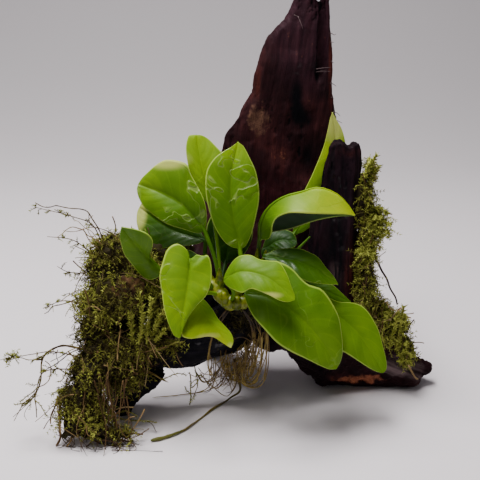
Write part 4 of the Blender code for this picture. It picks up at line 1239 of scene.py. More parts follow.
def meshFromParts(name, parts):
    points, faces, tones, tans, offset = [], [], [], [], 0
    for partPoints, partFaces, partTones, partTans in parts:
        count, size = partPoints.shape[:2]
        points.append(partPoints.reshape(-1, 3))
        faces.append((partFaces[None] + (np.arange(count) * size)[:, None, None]).reshape(-1, 3) + offset)
        tones.append(partTones.ravel())
        tans.append(partTans.ravel())
        offset += count * size
    points = np.concatenate(points)
    front = strandLimits["front"]
    points[:, 1] = np.maximum(points[:, 1], front + strandLimits["give"] * (points[:, 1] - front))
    points[:, 2] = np.maximum(points[:, 2], strandLimits["floor"])
    faces = np.concatenate(faces)
    mesh = bpy.data.meshes.new(name)
    mesh.vertices.add(len(points))
    mesh.vertices.foreach_set("co", toFrame(points).astype(np.float32).ravel())
    mesh.loops.add(faces.size)
    mesh.loops.foreach_set("vertex_index", faces.ravel().astype(np.int32))
    mesh.polygons.add(len(faces))
    mesh.polygons.foreach_set("loop_start", np.arange(0, faces.size, 3, dtype=np.int32))
    mesh.update(calc_edges=True)
    mesh.validate()
    setTone(mesh, "tone", np.concatenate(tones))
    setTone(mesh, "tan", np.concatenate(tans))
    item = bpy.data.objects.new(name, mesh)
    bpy.context.scene.collection.objects.link(item)
    return item


# Roots under the arm and on the floor

rootShape = {
    "radius": 0.26,
    "radiusShares": (1.15, 0.75),
    "strands": 3,
    "spread": 0.5,
    "wiggle": 0.55,
    "knots": 0.14,
    "tip": 0.4,
    "lift": 0.08,
    # The roots are dark above this height, in the shade of the rhizome
    "darkAbove": 40,
    "darkOver": 7,
    "darkBy": 0.45,
}
floorRoot = {
    "radius": 0.5,
    "olive": 0.25,
    # The thick olive end of the root that lies on the floor
    "end": [(-27, -39.5, 1.0), (-31, -43, 1.2), (-36, -46, 1.2), (-41, -48, 1.0)],
    "endRadii": (0.5, 0.95),
    "endOlive": 0.9,
}
# The fine curtain: where its roots start on the arm (least, likeliest and greatest X), how far they
# sink, and how far they reach in all
fineRoots = {
    "count": 90,
    "radii": (0.2, 0.12),
    "sides": 5,
    "startX": (-17, 6, 13),
    "startY": -18,
    "armTop": 25,
    "armRises": (-3, 0.9),
    "start": ((0, 3), (0, 8)),
    "sink": ((-7, 4), (0, 2.5), (6, 15)),
    "reach": ((-9, 5), (0, 4), (8, 19)),
    "tones": (0.2, 0.6),
}
rootPaths = {
    "root_1": [(9.5, -23.5, 61), (11.5, -21, 53), (13, -20, 40), (13, -20, 26), (11, -18, 15), (5, -17, 11),
               (0, -17, 15), (-1, -19.5, 24)],
    "root_2": [(5, -26.5, 58), (8, -23, 50), (10, -21.5, 40), (10, -21, 28), (8, -20, 17), (4, -19, 14),
               (1.5, -19, 18), (2, -18, 27)],
    "root_3": [(1, -28, 58), (5, -25, 50), (7, -22.5, 38), (6, -21, 28), (4, -20, 21)],
    "root_4": [(-6, -20.5, 25), (-8, -18, 16), (-12, -17, 11), (-17, -18, 16), (-19, -19, 21)],
    "root_5": [(-10, -18, 23), (-13, -15, 15), (-18, -15, 13), (-22, -16, 20)],
    "root_6": [(8, -16, 28), (6, -14, 18), (2, -13, 13), (-4, -13, 14), (-7, -14, 24)],
    "root_7": [(-6, -28, 57.5), (-11, -27, 48), (-14, -26, 38), (-15, -26.5, 30), (-14, -25, 24),
               (-13, -20, 20)],
    "root_8": [(-44, -30.5, 27), (-39, -29.5, 24), (-34.5, -26, 19)],
    "floor_root_1": [(-3, -14, 25), (-1, -9, 12), (0, -6, 3), (-6, -11, 0.8), (-17, -25, 0.8),
                     (-24, -36, 0.8), (-31, -43, 0.8), (-41, -48, 0.8)],
    "floor_root_2": [(-12, -11, 14), (-15, -4, 3), (-25, -5, 0.8), (-34, -7, 0.8), (-44, -9, 0.8)],
}
# The curtain in front of the arm: kind, radius at its start and end, path
curtainRoots = [
    ("main", 0.42, 0.3, [(12.5, -20, 43.5), (12, -19.5, 36), (10.5, -19.5, 28.5), (9, -19, 22),
        (6.5, -19, 17.5), (3.5, -18.5, 15.5), (1.5, -18.5, 17.5), (1, -18, 23.5)]),
    ("main", 0.34, 0.26, [(11, -21, 43), (9.5, -20.5, 35.5), (8, -20.5, 28), (6.5, -20, 22), (4.5, -20, 18.5),
        (2.5, -19.5, 20), (2.5, -19.5, 26.5), (3.5, -19, 32.5)]),
    ("main", 0.3, 0.22, [(12.5, -22, 43), (13, -21.5, 35.5), (11.5, -21, 27.5), (9.5, -20.5, 21),
        (7, -20, 16.5), (3.5, -19.5, 14.5), (1, -19, 16)]),
    ("main", 0.3, 0.22, [(9, -21, 41), (7.5, -20, 33), (6, -19.5, 26.5), (5, -19, 20), (3, -18, 16)]),
    ("main", 0.3, 0.22, [(7, -21, 38), (5.5, -20.5, 31), (4, -20, 24.5), (3.5, -19.5, 19), (5, -19, 15),
        (8, -18.5, 17.5), (9, -18, 23.5)]),
    ("main", 0.28, 0.2, [(5, -20, 36.5), (2.5, -19.5, 30), (1, -19, 24), (1, -18, 18), (3, -17.5, 14),
        (6, -17, 13.5)]),
    ("fine", 0.22, 0.16, [(3.5, -19, 32.5), (0.5, -18.5, 27), (-0.5, -17.5, 20.5), (0.5, -17, 15)]),
    ("fine", 0.22, 0.16, [(1.5, -19, 30.5), (-0.5, -18.5, 24), (0, -17.5, 18), (3, -17, 14.5)]),
    ("fine", 0.22, 0.16, [(10, -20, 35.5), (10.5, -19.5, 29.5), (8.5, -18.5, 24), (5.5, -18, 22)]),
    ("loop", 0.26, 0.18, [(0, -20, 29), (0, -19.5, 22), (-1, -19, 16.5), (-3, -18.5, 11), (-6, -17.5, 6.5),
        (-9.5, -17, 7.5), (-12.5, -16.5, 10.5), (-14, -16, 13)]),
    ("loop", 0.24, 0.16, [(-2, -20, 27.5), (-1.5, -19, 20.5), (-2, -18, 14), (-4.5, -17, 9), (-7, -16, 7.5)]),
    ("fine", 0.24, 0.16, [(-13, -20, 25), (-12.5, -19, 18.5), (-13, -18.5, 13.5), (-15, -18, 9.5),
        (-18, -17, 8)]),
    ("fine", 0.24, 0.16, [(-11, -20, 25.5), (-9, -19, 19.5), (-10, -18, 13.5), (-13, -17, 11)]),
    ("fine", 0.26, 0.16, [(-8.5, -20, 25.5), (-7.5, -19, 19), (-5, -18, 13.5), (-4, -17, 9)]),
    ("fine", 0.24, 0.16, [(-6.5, -20, 26), (-8, -19, 20.5), (-11, -18, 17), (-13.5, -17, 13)]),
    ("fine", 0.24, 0.16, [(-5, -20, 26.5), (-4.5, -19, 20), (-6, -18, 14.5), (-9, -17, 11.5)]),
    ("fine", 0.24, 0.16, [(-15.5, -20, 24), (-14, -19, 18.5), (-11.5, -18, 14), (-10.5, -17, 9.5)]),
    ("fine", 0.22, 0.16, [(-3, -20, 27.5), (-3.5, -19, 22), (-2.5, -18, 16.5)]),
    ("fine", 0.2, 0.14, [(-20, -21, 24), (-18, -20.5, 20.5), (-14.5, -19.5, 19), (-13, -19, 15)]),
    ("fine", 0.2, 0.14, [(-25, -21, 21.5), (-21, -20.5, 19), (-17, -20.5, 18), (-14, -20, 16.5)]),
    ("fine", 0.3, 0.2, [(-14, -17, 13.5), (-16, -16, 10), (-20, -15.5, 7.5), (-25.5, -15, 6.5),
        (-33.5, -14, 4.5)]),
    ("fine", 0.22, 0.14, [(-2, -24, 41), (-5, -25, 40.5), (-9, -26, 38.5)]),
    ("fine", 0.26, 0.2, [(4, -24, 43.5), (5.5, -23.5, 41), (8.5, -22.5, 40), (11.5, -22, 43.5)]),
    ("fine", 0.26, 0.2, [(-3.5, -24, 40.5), (1, -23.5, 41.5), (4.5, -22.5, 39.5), (7.5, -22, 36.5)]),
]
rootTones = {"main": 0.58, "fine": 0.44, "loop": 0.24}
rootColours = [
    (0.08, (0.022, 0.011, 0.003)),
    (0.28, (0.080, 0.043, 0.009)),
    (0.50, (0.18, 0.120, 0.022)),
    (0.72, (0.30, 0.22, 0.045)),
    (0.92, (0.42, 0.35, 0.11)),
]
oliveColour = (0.105, 0.115, 0.015)


def rootFinish():
    finish = Finish("fleshyRoot", Specular_IOR_Level=0.3, Subsurface_Weight=0.12,
                    Subsurface_Radius=(1.0, 0.7, 0.3), Subsurface_Scale=0.001)
    cloud = finish.grain(finish.place(), 150.0, 4.0)
    base = finish.ramp(finish.tone("tone") + (cloud - 0.5) * 0.6, rootColours)
    base = finish.blend(finish.tone("tan"), base, oliveColour)
    rough = cloud.span(0.3, 0.7, 0.4, 0.6)
    fine = finish.grain(finish.place(), 1800.0, 2.0)
    return finish.show(Base_Color=base, Roughness=rough, Normal=finish.bump(fine, 0.0001))


def swayingLine(path, seed, wiggle, stepLength=1.4):
    # A path in short steps, which strays from side to side between its ends
    steps = max(6, int(pathLength(path) / stepLength))
    places = np.linspace(0, 1, steps)
    points = smoothPath(path, places)
    sway = np.array([fieldNoise(points * mm, 130.0, seed + shift) for shift in (0.0, 31.0, 67.0)]).T
    ends = np.clip(np.minimum(places, 1 - places) * 8, 0.3, 1)[:, None]
    return points + sway * wiggle * ends


def rootParts(path, radii, seed, tone, olive=0.0, sides=6):
    line = swayingLine(path, seed, rootShape["wiggle"])
    places = np.linspace(0, 1, len(line))
    radius = radii[0] + (radii[1] - radii[0]) * places
    radius *= 1 + rootShape["knots"] * np.sin(places * 23 + seed)
    radius[-1] *= rootShape["tip"]
    line[:, 2] = np.maximum(line[:, 2], radius + rootShape["lift"])
    shaded = np.clip((line[:, 2] - rootShape["darkAbove"]) / rootShape["darkOver"], 0, 1)
    tones = tone + 0.12 * np.sin(places * 9 + seed) - rootShape["darkBy"] * shaded
    return strandPart(line[None], radius[None], sides, tones[None], np.full((1, len(line)), olive))


def fineRootPath(rng):
    startX = rng.triangular(*fineRoots["startX"])
    riseFrom, rise = fineRoots["armRises"]
    top = fineRoots["armTop"] + max(0, startX - riseFrom) * rise
    forward, up = fineRoots["start"]
    start = np.array([startX, fineRoots["startY"] - rng.uniform(*forward), top + rng.uniform(*up)])
    sink = np.array([rng.uniform(*limits) for limits in fineRoots["sink"]]) * [1, 1, -1]
    reach = np.array([rng.uniform(*limits) for limits in fineRoots["reach"]]) * [1, 1, -1]
    return [start, start + sink * [0.5, 0.4, 0.7], start + sink, start + reach]


def nodeRootParts(name, path, index, rng):
    # The strands in the place of one root of the solids, close together
    lying = name.startswith("floor")
    radius = floorRoot["radius"] if name == "floor_root_1" else rootShape["radius"]
    radii = [radius * share for share in rootShape["radiusShares"]]
    parts = []
    for strand in range(1 if lying else rootShape["strands"]):
        shift = rng.normal(size=(len(path), 3)) * (0.0 if lying else rootShape["spread"])
        olive = floorRoot["olive"] if lying else 0.0
        parts.append(rootParts(np.array(path) + shift, radii, 5.0 * index + strand,
                               rng.uniform(0.35, 0.65), olive))
    return parts


def makeRoots():
    finish = rootFinish()
    rng = np.random.default_rng(41)
    pieces = {name: nodeRootParts(name, path, index, rng)
              for index, (name, path) in enumerate(rootPaths.items())}
    pieces["floor_root_1"].append(
        rootParts(floorRoot["end"], floorRoot["endRadii"], 3.0, 0.4, floorRoot["endOlive"], 8))
    for index, (kind, first, last, path) in enumerate(curtainRoots):
        tone = rootTones[kind] + rng.normal() * 0.08
        pieces["root_1"].append(rootParts(path, (first, last), 11.0 + index, tone))
    for index in range(fineRoots["count"]):
        pieces["root_3"].append(rootParts(fineRootPath(rng), fineRoots["radii"], 70.0 + index,
                                          rng.uniform(*fineRoots["tones"]), sides=fineRoots["sides"]))
    for name, parts in pieces.items():
        item = meshFromParts(name + "_look", parts)
        item.data.shade_smooth()
        finishPiece(item, finish, [name])
    print("roots:", len(pieces))


# Java moss: leafy fronds grown from the moss solids, long bare strands, and the runners

# A frond's stem darkens towards its foot, partly its own brown and partly painted shade deep in the mat
frond = {"steps": 7, "radius": 0.15, "taper": 0.35, "tones": (-0.2, 0.05), "brown": 0.3}
# For each mat: fronds, their length, how far they hang, bare strands, and the seed of its pattern
mossMats = {
    "moss_left_crown": dict(fronds=1780, length=(5, 9), hang=0.5, strands=60, seed=3, tone=0.42),
    "moss_left_skirt": dict(fronds=1900, length=(5, 9), hang=0.9, strands=90, seed=7, tone=0.30),
    "moss_right": dict(fronds=1780, length=(3.5, 7), hang=0.4, strands=90, seed=11, tone=0.58),
}
# How the fronds stand on a mat
matFronds = {
    "outward": 0.7,
    "scatter": 0.6,
    "fall": 0.25,
    "depth": 2.2,
    "tuftWaves": 0.11,
    "tuftHeight": 1.6,
    "tuftSink": 0.4,
    # Near the floor a mat opens into loose strands, on its outer side sooner: the least, the
    # likeliest and the greatest height
    "opensAt": (0, 2, 24),
    "outerX": -71,
    "outerSooner": 8.0,
    "toneScatter": 0.14,
    # Painted light and shade: fronds facing up are lighter, fronds in the dips between tufts darker
    "topLightTone": 0.10,
    "tuftShadeTone": 0.42,
    # The lowest fronds are young and bright
    "brightBelow": 26,
    "brightOver": 12,
    "brightBy": 0.18,
}
# The bare strands of a mat
matStrands = {
    "steps": 12,
    "sides": 5,
    "lengths": (9, 24),
    "rightShare": 0.6,
    "outward": 0.25,
    "fall": 0.5,
    "depth": 1.2,
    "hang": 0.7,
    "radii": (0.16, 0.36),
    "taper": 0.6,
    "tones": (0.15, 0.75),
}
# Loose stems that hang from the skirt down to the floor
hangingStems = {
    "count": 30,
    "x": (-80, -50),
    "y": (-50, -41),
    "top": (20, 36),
    "wiggle": 1.1,
    "radii": (0.18, 0.36),
    "tip": 0.12,
    "sides": 5,
    "tones": (0.15, 0.5),
    "footDarker": 0.2,
}
runnerShape = {
    "spacing": 2.6,
    "lengths": (1.5, 4.5),
    "hang": 0.2,
    "wiggle": 0.3,
    "radii": (0.3, 0.14),
    "sides": 5,
    "tone": 0.5,
    "stemDarker": 0.12,
    "brown": 0.6,
}
runnerPaths = {
    "moss_runner_1": [(-62, -25, 89), (-66, -27, 99), (-76, -29, 104), (-90, -30, 108)],
    "moss_runner_2": [(-66, -25, 83), (-74, -29, 92), (-85, -32, 95)],
    "moss_runner_3": [(-70, -32, 62), (-79, -36, 66), (-88, -38, 63)],
    "moss_runner_4": [(-73, -42, 41), (-84, -45, 45), (-94, -46, 44), (-107, -47, 42)],
    "moss_runner_5": [(-75, -44, 36), (-88, -47, 36), (-93, -48, 24), (-103, -49, 14)],
    "moss_runner_6": [(-70, -26, 75), (-78, -29, 77), (-82, -30, 80)],
    "moss_runner_7": [(-22, -18, 23), (-20.5, -19, 14), (-23, -20, 7)],
}
# Each traced strand: kind, radius at its start and end, path
mossStrands = [
    ("stem", 0.34, 0.22, [(-61, -25, 89.5), (-63, -25.5, 95.5), (-65.5, -26, 101), (-67.5, -26.5, 104.5),
        (-70.5, -27, 106), (-75, -27.5, 106.5), (-79, -28, 107.5), (-81, -28.5, 108), (-83.5, -29, 107.5),
        (-86.5, -29.5, 108), (-89.5, -30, 110)]),
    ("stem", 0.22, 0.15, [(-57.5, -25, 94), (-62, -26, 96.5), (-66, -26.5, 98), (-67, -27, 101.5),
        (-66.5, -28, 104.5)]),
    ("pale", 0.3, 0.18, [(-61.5, -26, 88.5), (-65, -26.5, 92), (-68, -27, 94), (-69.5, -28, 96.5),
        (-71.5, -28.5, 97.5), (-74.5, -29, 98.5), (-77, -30, 97.5), (-78.5, -30.5, 96), (-81, -31, 94)]),
    ("pale", 0.22, 0.14, [(-62.5, -26, 89.5), (-64.5, -27, 93.5), (-66.5, -27.5, 96), (-68.5, -28.5, 97.5),
        (-71.5, -29, 101), (-73, -30, 101.5)]),
    ("pale", 0.24, 0.14, [(-63, -25, 96.5), (-67, -26, 97), (-70.5, -27.5, 96.5), (-74.5, -29, 96),
        (-78, -30, 97)]),
    ("pale", 0.22, 0.16, [(-63.5, -27, 87.5), (-67, -27.5, 90.5), (-68.5, -28.5, 94), (-69.5, -29, 98)]),
    ("stem", 0.26, 0.14, [(-65, -27, 84.5), (-67.5, -28, 85.5), (-69.5, -29, 87.5), (-72, -30, 89),
        (-73.5, -31, 90.5)]),
    ("leafy", 0.22, 0.16, [(-65, -27, 84), (-67, -28.5, 86), (-69.5, -30, 87)]),
    ("stem", 0.2, 0.14, [(-66, -27, 83), (-69.5, -29, 84), (-73.5, -31, 84.5)]),
    ("leafy", 0.2, 0.14, [(-66, -27, 82.5), (-68.5, -30, 84.5)]),
    ("stem", 0.22, 0.13, [(-69, -26, 77.5), (-70.5, -28, 80.5), (-72, -30, 82)]),
    ("stem", 0.22, 0.14, [(-70, -27, 76), (-73, -28, 72.5), (-74.5, -29, 68.5), (-75, -30, 65.5),
        (-74, -31, 64)]),
    ("leafy", 0.3, 0.16, [(-69, -30, 62.5), (-72.5, -31, 64.5), (-75.5, -32, 67), (-77.5, -33, 68),
        (-79, -34, 67.5)]),
    ("stem", 0.34, 0.2, [(-68, -31, 62.5), (-72.5, -32, 65), (-75.5, -33, 64.5), (-78, -34, 64),
        (-81, -35, 63.5), (-84, -36, 63), (-86, -37, 61), (-87.5, -38, 60.5)]),
    ("stem", 0.22, 0.15, [(-72.5, -32, 64.5), (-75.5, -33.5, 62.5), (-77.5, -35.5, 60.5),
        (-78.5, -37, 58.5)]),
    ("pale", 0.28, 0.18, [(-71, -31, 64), (-74.5, -31.5, 62), (-75.5, -32.5, 58.5), (-75, -33, 55.5),
        (-72.5, -33.5, 54.5), (-69, -34.5, 56), (-65.5, -35, 58)]),
    ("pale", 0.24, 0.18, [(-72.5, -31, 62), (-72.5, -32, 59), (-69, -33, 57.5), (-64.5, -34, 60)]),
    ("stem", 0.62, 0.36, [(-71.5, -40, 44), (-75.5, -41, 45.5), (-80, -42, 46.5), (-84, -43, 45.5),
        (-87, -44, 43.5), (-88.5, -45, 41.5), (-91, -46, 41.5)]),
    ("stem", 0.26, 0.18, [(-90.5, -46, 41.5), (-94.5, -46.5, 41.5), (-98, -46.5, 42.5), (-102, -47, 42)]),
    ("leafy", 0.24, 0.2, [(-84, -44, 45.5), (-86.5, -44.5, 44), (-89.5, -45.5, 42.5), (-93, -46, 41)]),
    ("leafy", 0.2, 0.18, [(-87.5, -45, 42.5), (-90.5, -45.5, 41.5), (-93.5, -46, 40.5)]),
    ("stem", 0.42, 0.26, [(-88, -45, 42.5), (-89, -45.5, 39.5), (-89, -46.5, 35.5), (-89.5, -47, 32),
        (-90.5, -47.5, 28.5), (-92, -48.5, 25.5), (-92.5, -49, 22.5)]),
    ("stem", 0.3, 0.14, [(-91.5, -48, 26.5), (-94.5, -48.5, 23.5), (-97.5, -49, 21), (-100, -49.5, 17),
        (-102.5, -50, 12.5)]),
    ("stem", 0.3, 0.22, [(-92.5, -49, 23.5), (-92, -49.5, 19.5), (-92, -50, 14.5)]),
    ("leafy", 0.26, 0.18, [(-92.5, -49, 23), (-90, -49.5, 20.5), (-88.5, -50.5, 18), (-87, -51, 15.5)]),
    ("leafy", 0.26, 0.18, [(-92.5, -48, 24), (-95.5, -48.5, 22.5), (-98, -49.5, 21.5), (-101.5, -50, 21)]),
    ("leafy", 0.26, 0.18, [(-90.5, -48, 29), (-93, -48.5, 26.5), (-96, -48.5, 24.5), (-99, -49, 22)]),
    ("stem", 0.15, 0.1, [(-94.5, -49, 20.5), (-96, -49.5, 18.5), (-97.5, -49.5, 15.5), (-96.5, -50, 13)]),
    ("pale", 0.26, 0.2, [(-90.5, -47, 28.5), (-88, -46.5, 29.5), (-86, -46, 31.5), (-85, -46, 35),
        (-85, -45.5, 38), (-87.5, -45, 40.5)]),
    ("stem", 0.3, 0.2, [(-72, -42, 45), (-76.5, -43, 43.5), (-80, -43.5, 40.5), (-83, -44.5, 38.5),
        (-86, -45, 37), (-89, -46, 35.5)]),
    ("stem", 0.24, 0.16, [(-72, -42, 46), (-76, -43, 44.5), (-80.5, -44, 42), (-85, -45, 40)]),
    ("stem", 0.2, 0.14, [(-81.5, -44, 45.5), (-82.5, -44.5, 42.5), (-81.5, -45.5, 40), (-82.5, -46, 38.5)]),
    ("leafy", 0.3, 0.2, [(-74.5, -42, 32.5), (-78, -43.5, 33), (-80.5, -44.5, 35.5), (-83, -46, 38.5)]),
    ("leafy", 0.26, 0.2, [(-76, -43, 30.5), (-78.5, -44, 34), (-80.5, -45, 31), (-82.5, -46, 30.5)]),
    ("leafy", 0.3, 0.2, [(-75.5, -44, 27), (-78.5, -45.5, 27), (-82, -47.5, 27), (-85, -49, 25.5)]),
    ("tan", 0.62, 0.3, [(-77.5, -46, 27.5), (-80.5, -47, 24.5), (-83, -47.5, 21), (-84.5, -48.5, 17.5),
        (-86, -49, 13.5), (-86, -50, 11)]),
    ("tan", 0.74, 0.5, [(-79.5, -46, 25), (-81, -47, 20.5), (-81.5, -48, 16), (-82, -49, 10),
        (-82, -49.5, 4.5), (-83, -50.5, 1.5), (-84, -51.5, 0.5)]),
    ("tan", 0.6, 0.4, [(-76, -46, 26), (-75.5, -47, 21.5), (-76, -48, 16), (-76, -49, 11.5), (-76.5, -50, 7),
        (-77, -51, 3), (-79, -52, 0.5)]),
    ("pale", 0.3, 0.22, [(-78.5, -47, 23.5), (-78, -48, 18), (-77, -49, 13.5), (-77, -50, 8)]),
    ("pale", 0.34, 0.22, [(-73.5, -46, 23), (-73.5, -46.5, 16), (-73.5, -47, 9), (-71.5, -47, 4.5),
        (-68, -47.5, 2), (-64, -48, 1.5)]),
    ("pale", 0.28, 0.2, [(-76.5, -48, 8), (-74, -48, 5), (-71.5, -48.5, 3), (-67.5, -49, 1.5),
        (-62.5, -49, 1)]),
    ("pale", 0.24, 0.18, [(-83.5, -48, 8), (-80.5, -48.5, 8), (-77.5, -49.5, 7), (-75, -50, 8)]),
    ("pale", 0.28, 0.2, [(-71.5, -44, 20), (-68.5, -45, 14), (-65, -46, 10.5), (-64, -47, 6), (-65, -48, 3)]),
    ("pale", 0.28, 0.2, [(-69.5, -44, 22.5), (-70.5, -45, 16.5), (-69.5, -46, 10.5), (-66, -47, 7)]),
    ("tan", 0.95, 0.6, [(-64, -40, 19.5), (-62, -41, 16.5), (-59.5, -42.5, 13), (-58, -43.5, 8.5),
        (-57.5, -45, 4), (-56.5, -46, 0.5)]),
    ("tan", 0.6, 0.4, [(-59, -40, 17.5), (-58.5, -41.5, 12.5), (-57.5, -43, 9), (-56.5, -44.5, 4),
        (-56.5, -46, 0.5)]),
    ("stem", 0.32, 0.15, [(-56.5, -46, 1), (-56.5, -47.5, 0.5), (-56.5, -49, 0.5)]),
    ("tan", 0.36, 0.14, [(-56.5, -46, 0.5), (-54.5, -46.5, 0.5), (-51.5, -47.5, 0.5), (-49, -48, 0.5)]),
    ("tan", 0.36, 0.14, [(-56.5, -46, 0.5), (-53.5, -47.5, 0.5), (-50.5, -48.5, 0.5), (-47.5, -50, 0.5)]),
    ("leafy", 0.3, 0.2, [(-60, -38, 7.5), (-55, -38.5, 6.5), (-49.5, -39, 6), (-44, -39.5, 6),
        (-39, -40, 5.5)]),
    ("stem", 0.24, 0.14, [(-44, -39, 6), (-41, -40, 4.5), (-39, -41, 1)]),
    ("leafy", 0.34, 0.22, [(-59, -38, 3.5), (-54.5, -39.5, 3), (-51, -40.5, 2), (-48, -42, 1)]),
    ("leafy", 0.34, 0.22, [(-59, -38, 8), (-55, -38.5, 10.5), (-50.5, -39.5, 10.5), (-47.5, -40, 9)]),
    ("leafy", 0.3, 0.2, [(-64.5, -36, 0.5), (-60.5, -37.5, 0.5), (-55.5, -38.5, 0.5), (-51.5, -40, 0.5)]),
    ("tan", 0.6, 0.35, [(-70, -42, 33), (-66, -42.5, 31.5), (-62, -43, 31.5), (-59.5, -43.5, 29),
        (-61, -44, 24)]),
    ("tan", 0.5, 0.35, [(-67.5, -42, 27), (-67, -43, 21.5), (-65.5, -44, 17.5), (-63, -45, 12.5)]),
    ("shoot", 0.5, 0.24, [(-46, -38, 45.5), (-44.5, -39, 52.5), (-43.5, -39.5, 60), (-44, -40, 66),
        (-44.5, -41, 71)]),
    ("shoot", 0.5, 0.24, [(-42.5, -37, 45), (-42, -38, 53.5), (-40, -39, 61.5), (-39, -40, 69)]),
    ("shoot", 0.46, 0.24, [(-41, -36, 46.5), (-38.5, -37, 53), (-36, -38, 59.5), (-32, -39, 63)]),
    ("shoot", 0.46, 0.24, [(-48.5, -37, 45), (-49, -38.5, 52), (-48.5, -39.5, 57), (-49, -41, 62)]),
    ("shoot", 0.4, 0.22, [(-38.5, -37, 45.5), (-36, -38, 50), (-33.5, -39, 52.5)]),
    ("leafy", 0.26, 0.2, [(-51.5, -33, 38.5), (-46, -33.5, 37), (-40.5, -34.5, 39), (-34, -35, 42.5)]),
    ("leafy", 0.26, 0.2, [(-41.5, -33, 40.5), (-36, -33.5, 40.5), (-30, -34.5, 44), (-25.5, -35, 45)]),
    ("leafy", 0.26, 0.2, [(-55, -32, 29), (-50.5, -33, 25.5), (-46, -34, 23), (-43, -35, 21)]),
    ("leafy", 0.26, 0.2, [(-57.5, -31, 23), (-51, -32, 21.5), (-46, -33, 23.5), (-40.5, -34, 24.5)]),
    ("leafy", 0.24, 0.2, [(-52.5, -30, 28), (-47, -31, 26), (-41, -32, 25), (-38.5, -33, 23)]),
    ("leafy", 0.24, 0.2, [(-38, -29, 21.5), (-34, -29.5, 24), (-29, -30.5, 26), (-25, -31, 25.5)]),
    ("shoot", 0.5, 0.26, [(56.5, -3, 112), (58.5, -3.5, 116.5), (60.5, -3.5, 121), (63, -4, 124.5)]),
    ("shoot", 0.5, 0.26, [(58, -2, 108), (61, -2.5, 112), (63, -3.5, 116.5), (64, -4, 119.5)]),
    ("shoot", 0.4, 0.24, [(56, -2, 110), (56.5, -3, 114), (58.5, -4, 114.5)]),
    ("stem", 0.24, 0.12, [(61, -3, 100), (63, -3.5, 101.5), (64.5, -4, 103.5)]),
    ("shoot", 0.42, 0.24, [(59, -4, 97), (62.5, -4.5, 99.5), (66, -5.5, 99), (69, -6, 97)]),
    ("shoot", 0.42, 0.24, [(59, -5, 93.5), (63.5, -5.5, 94), (67.5, -6.5, 93), (70.5, -7, 91.5)]),
    ("shoot", 0.42, 0.24, [(59.5, -5, 89), (64, -5.5, 90.5), (67.5, -6.5, 89), (70.5, -7, 87.5)]),
    ("shoot", 0.4, 0.24, [(59, -5, 85.5), (63, -5.5, 83.5), (66, -5.5, 80.5), (66.5, -6, 80)]),
    ("pale", 0.3, 0.2, [(61, -5, 75.5), (63.5, -5.5, 77.5), (66, -6, 78.5)]),
    ("leafy", 0.28, 0.2, [(61, -5, 72.5), (63.5, -5.5, 73.5), (65, -6, 75.5)]),
    ("leafy", 0.28, 0.2, [(60.5, -6, 64.5), (63.5, -6.5, 63.5), (66, -7, 62)]),
    ("leafy", 0.3, 0.18, [(64, -6, 43.5), (65, -6.5, 49), (67, -6.5, 53), (68.5, -7, 55)]),
    ("leafy", 0.3, 0.16, [(65, -6, 43.5), (66.5, -6.5, 49), (68, -7.5, 53), (71.5, -8, 54.5)]),
    ("pale", 0.5, 0.36, [(65.5, -6, 44.5), (69, -6, 42.5), (73.5, -6, 43), (76, -6, 46), (79, -6, 49)]),
    ("pale", 0.36, 0.24, [(71, -7, 52), (73, -7, 48.5), (76, -7, 48), (78, -7, 49.5)]),
    ("shoot", 0.7, 0.4, [(77.5, -6, 27.5), (78.5, -5.5, 34.5), (79, -5.5, 42), (80, -5, 49)]),
    ("shoot", 0.46, 0.3, [(74, -7, 27.5), (74.5, -6.5, 34), (76.5, -6.5, 41.5), (77, -6, 46.5)]),
    ("shoot", 0.46, 0.3, [(71, -8, 29), (70, -7.5, 35.5), (71.5, -7.5, 39.5), (74.5, -7, 40.5)]),
    ("shoot", 0.4, 0.26, [(76, -7, 26.5), (80, -6.5, 29), (83, -6, 28.5)]),
    ("shoot", 0.4, 0.26, [(77.5, -7, 23), (81.5, -7, 25.5), (85, -7, 23)]),
    ("shoot", 0.4, 0.26, [(77.5, -7, 20), (81.5, -7.5, 21), (84.5, -8, 20.5)]),
    ("pale", 0.5, 0.4, [(83, -10, 19.5), (84.5, -9.5, 16.5), (87, -9.5, 13), (88.5, -9, 11.5)]),
    ("leafy", 0.3, 0.2, [(-24.5, -18, 20), (-24, -18.5, 15), (-24, -19, 11), (-24, -19.5, 6.5),
        (-24.5, -20, 3)]),
    ("leafy", 0.24, 0.2, [(-24, -19, 12), (-22, -20, 14), (-20, -21, 17.5)]),
    ("leafy", 0.24, 0.2, [(-24, -19, 8.5), (-26, -20, 11.5), (-26.5, -21, 14)]),
]
# For each kind of strand: leaflets on each millimetre, their size, tone, how brown the stem is
strandKinds = {
    "stem": (0.5, 0.6, 0.36, 0.55),
    "pale": (0.0, 0.0, 0.62, 1.0),
    "tan": (0.0, 0.0, 0.42, 1.0),
    "leafy": (2.6, 0.95, 0.52, 0.3),
    "shoot": (7.0, 1.7, 0.66, 0.1),
}
# Where the mats run on behind the leaves, their green dark as painted shade there, and a bare brown patch:
# centre, half sizes, how brown
coreLumps = [
    ((-36, -18, 57), (7, 6, 11), 0.0),
    ((-31, -3, 78), (9, 4, 6), 0.0),
    ((-39, -8, 77), (8, 6, 7), 0.0),
    ((-50, -33.5, 70), (7, 3.5, 6.5), 1.0),
    ((-67.5, -31, 49), (6, 5, 7), 0.0),
    ((-35, -18, 44.5), (9, 4, 6), 0.0),
    ((57.3, -1, 100), (2.8, 3, 15), 0.0),
    ((58, -1, 74), (2.5, 3, 16), 0.6),
]
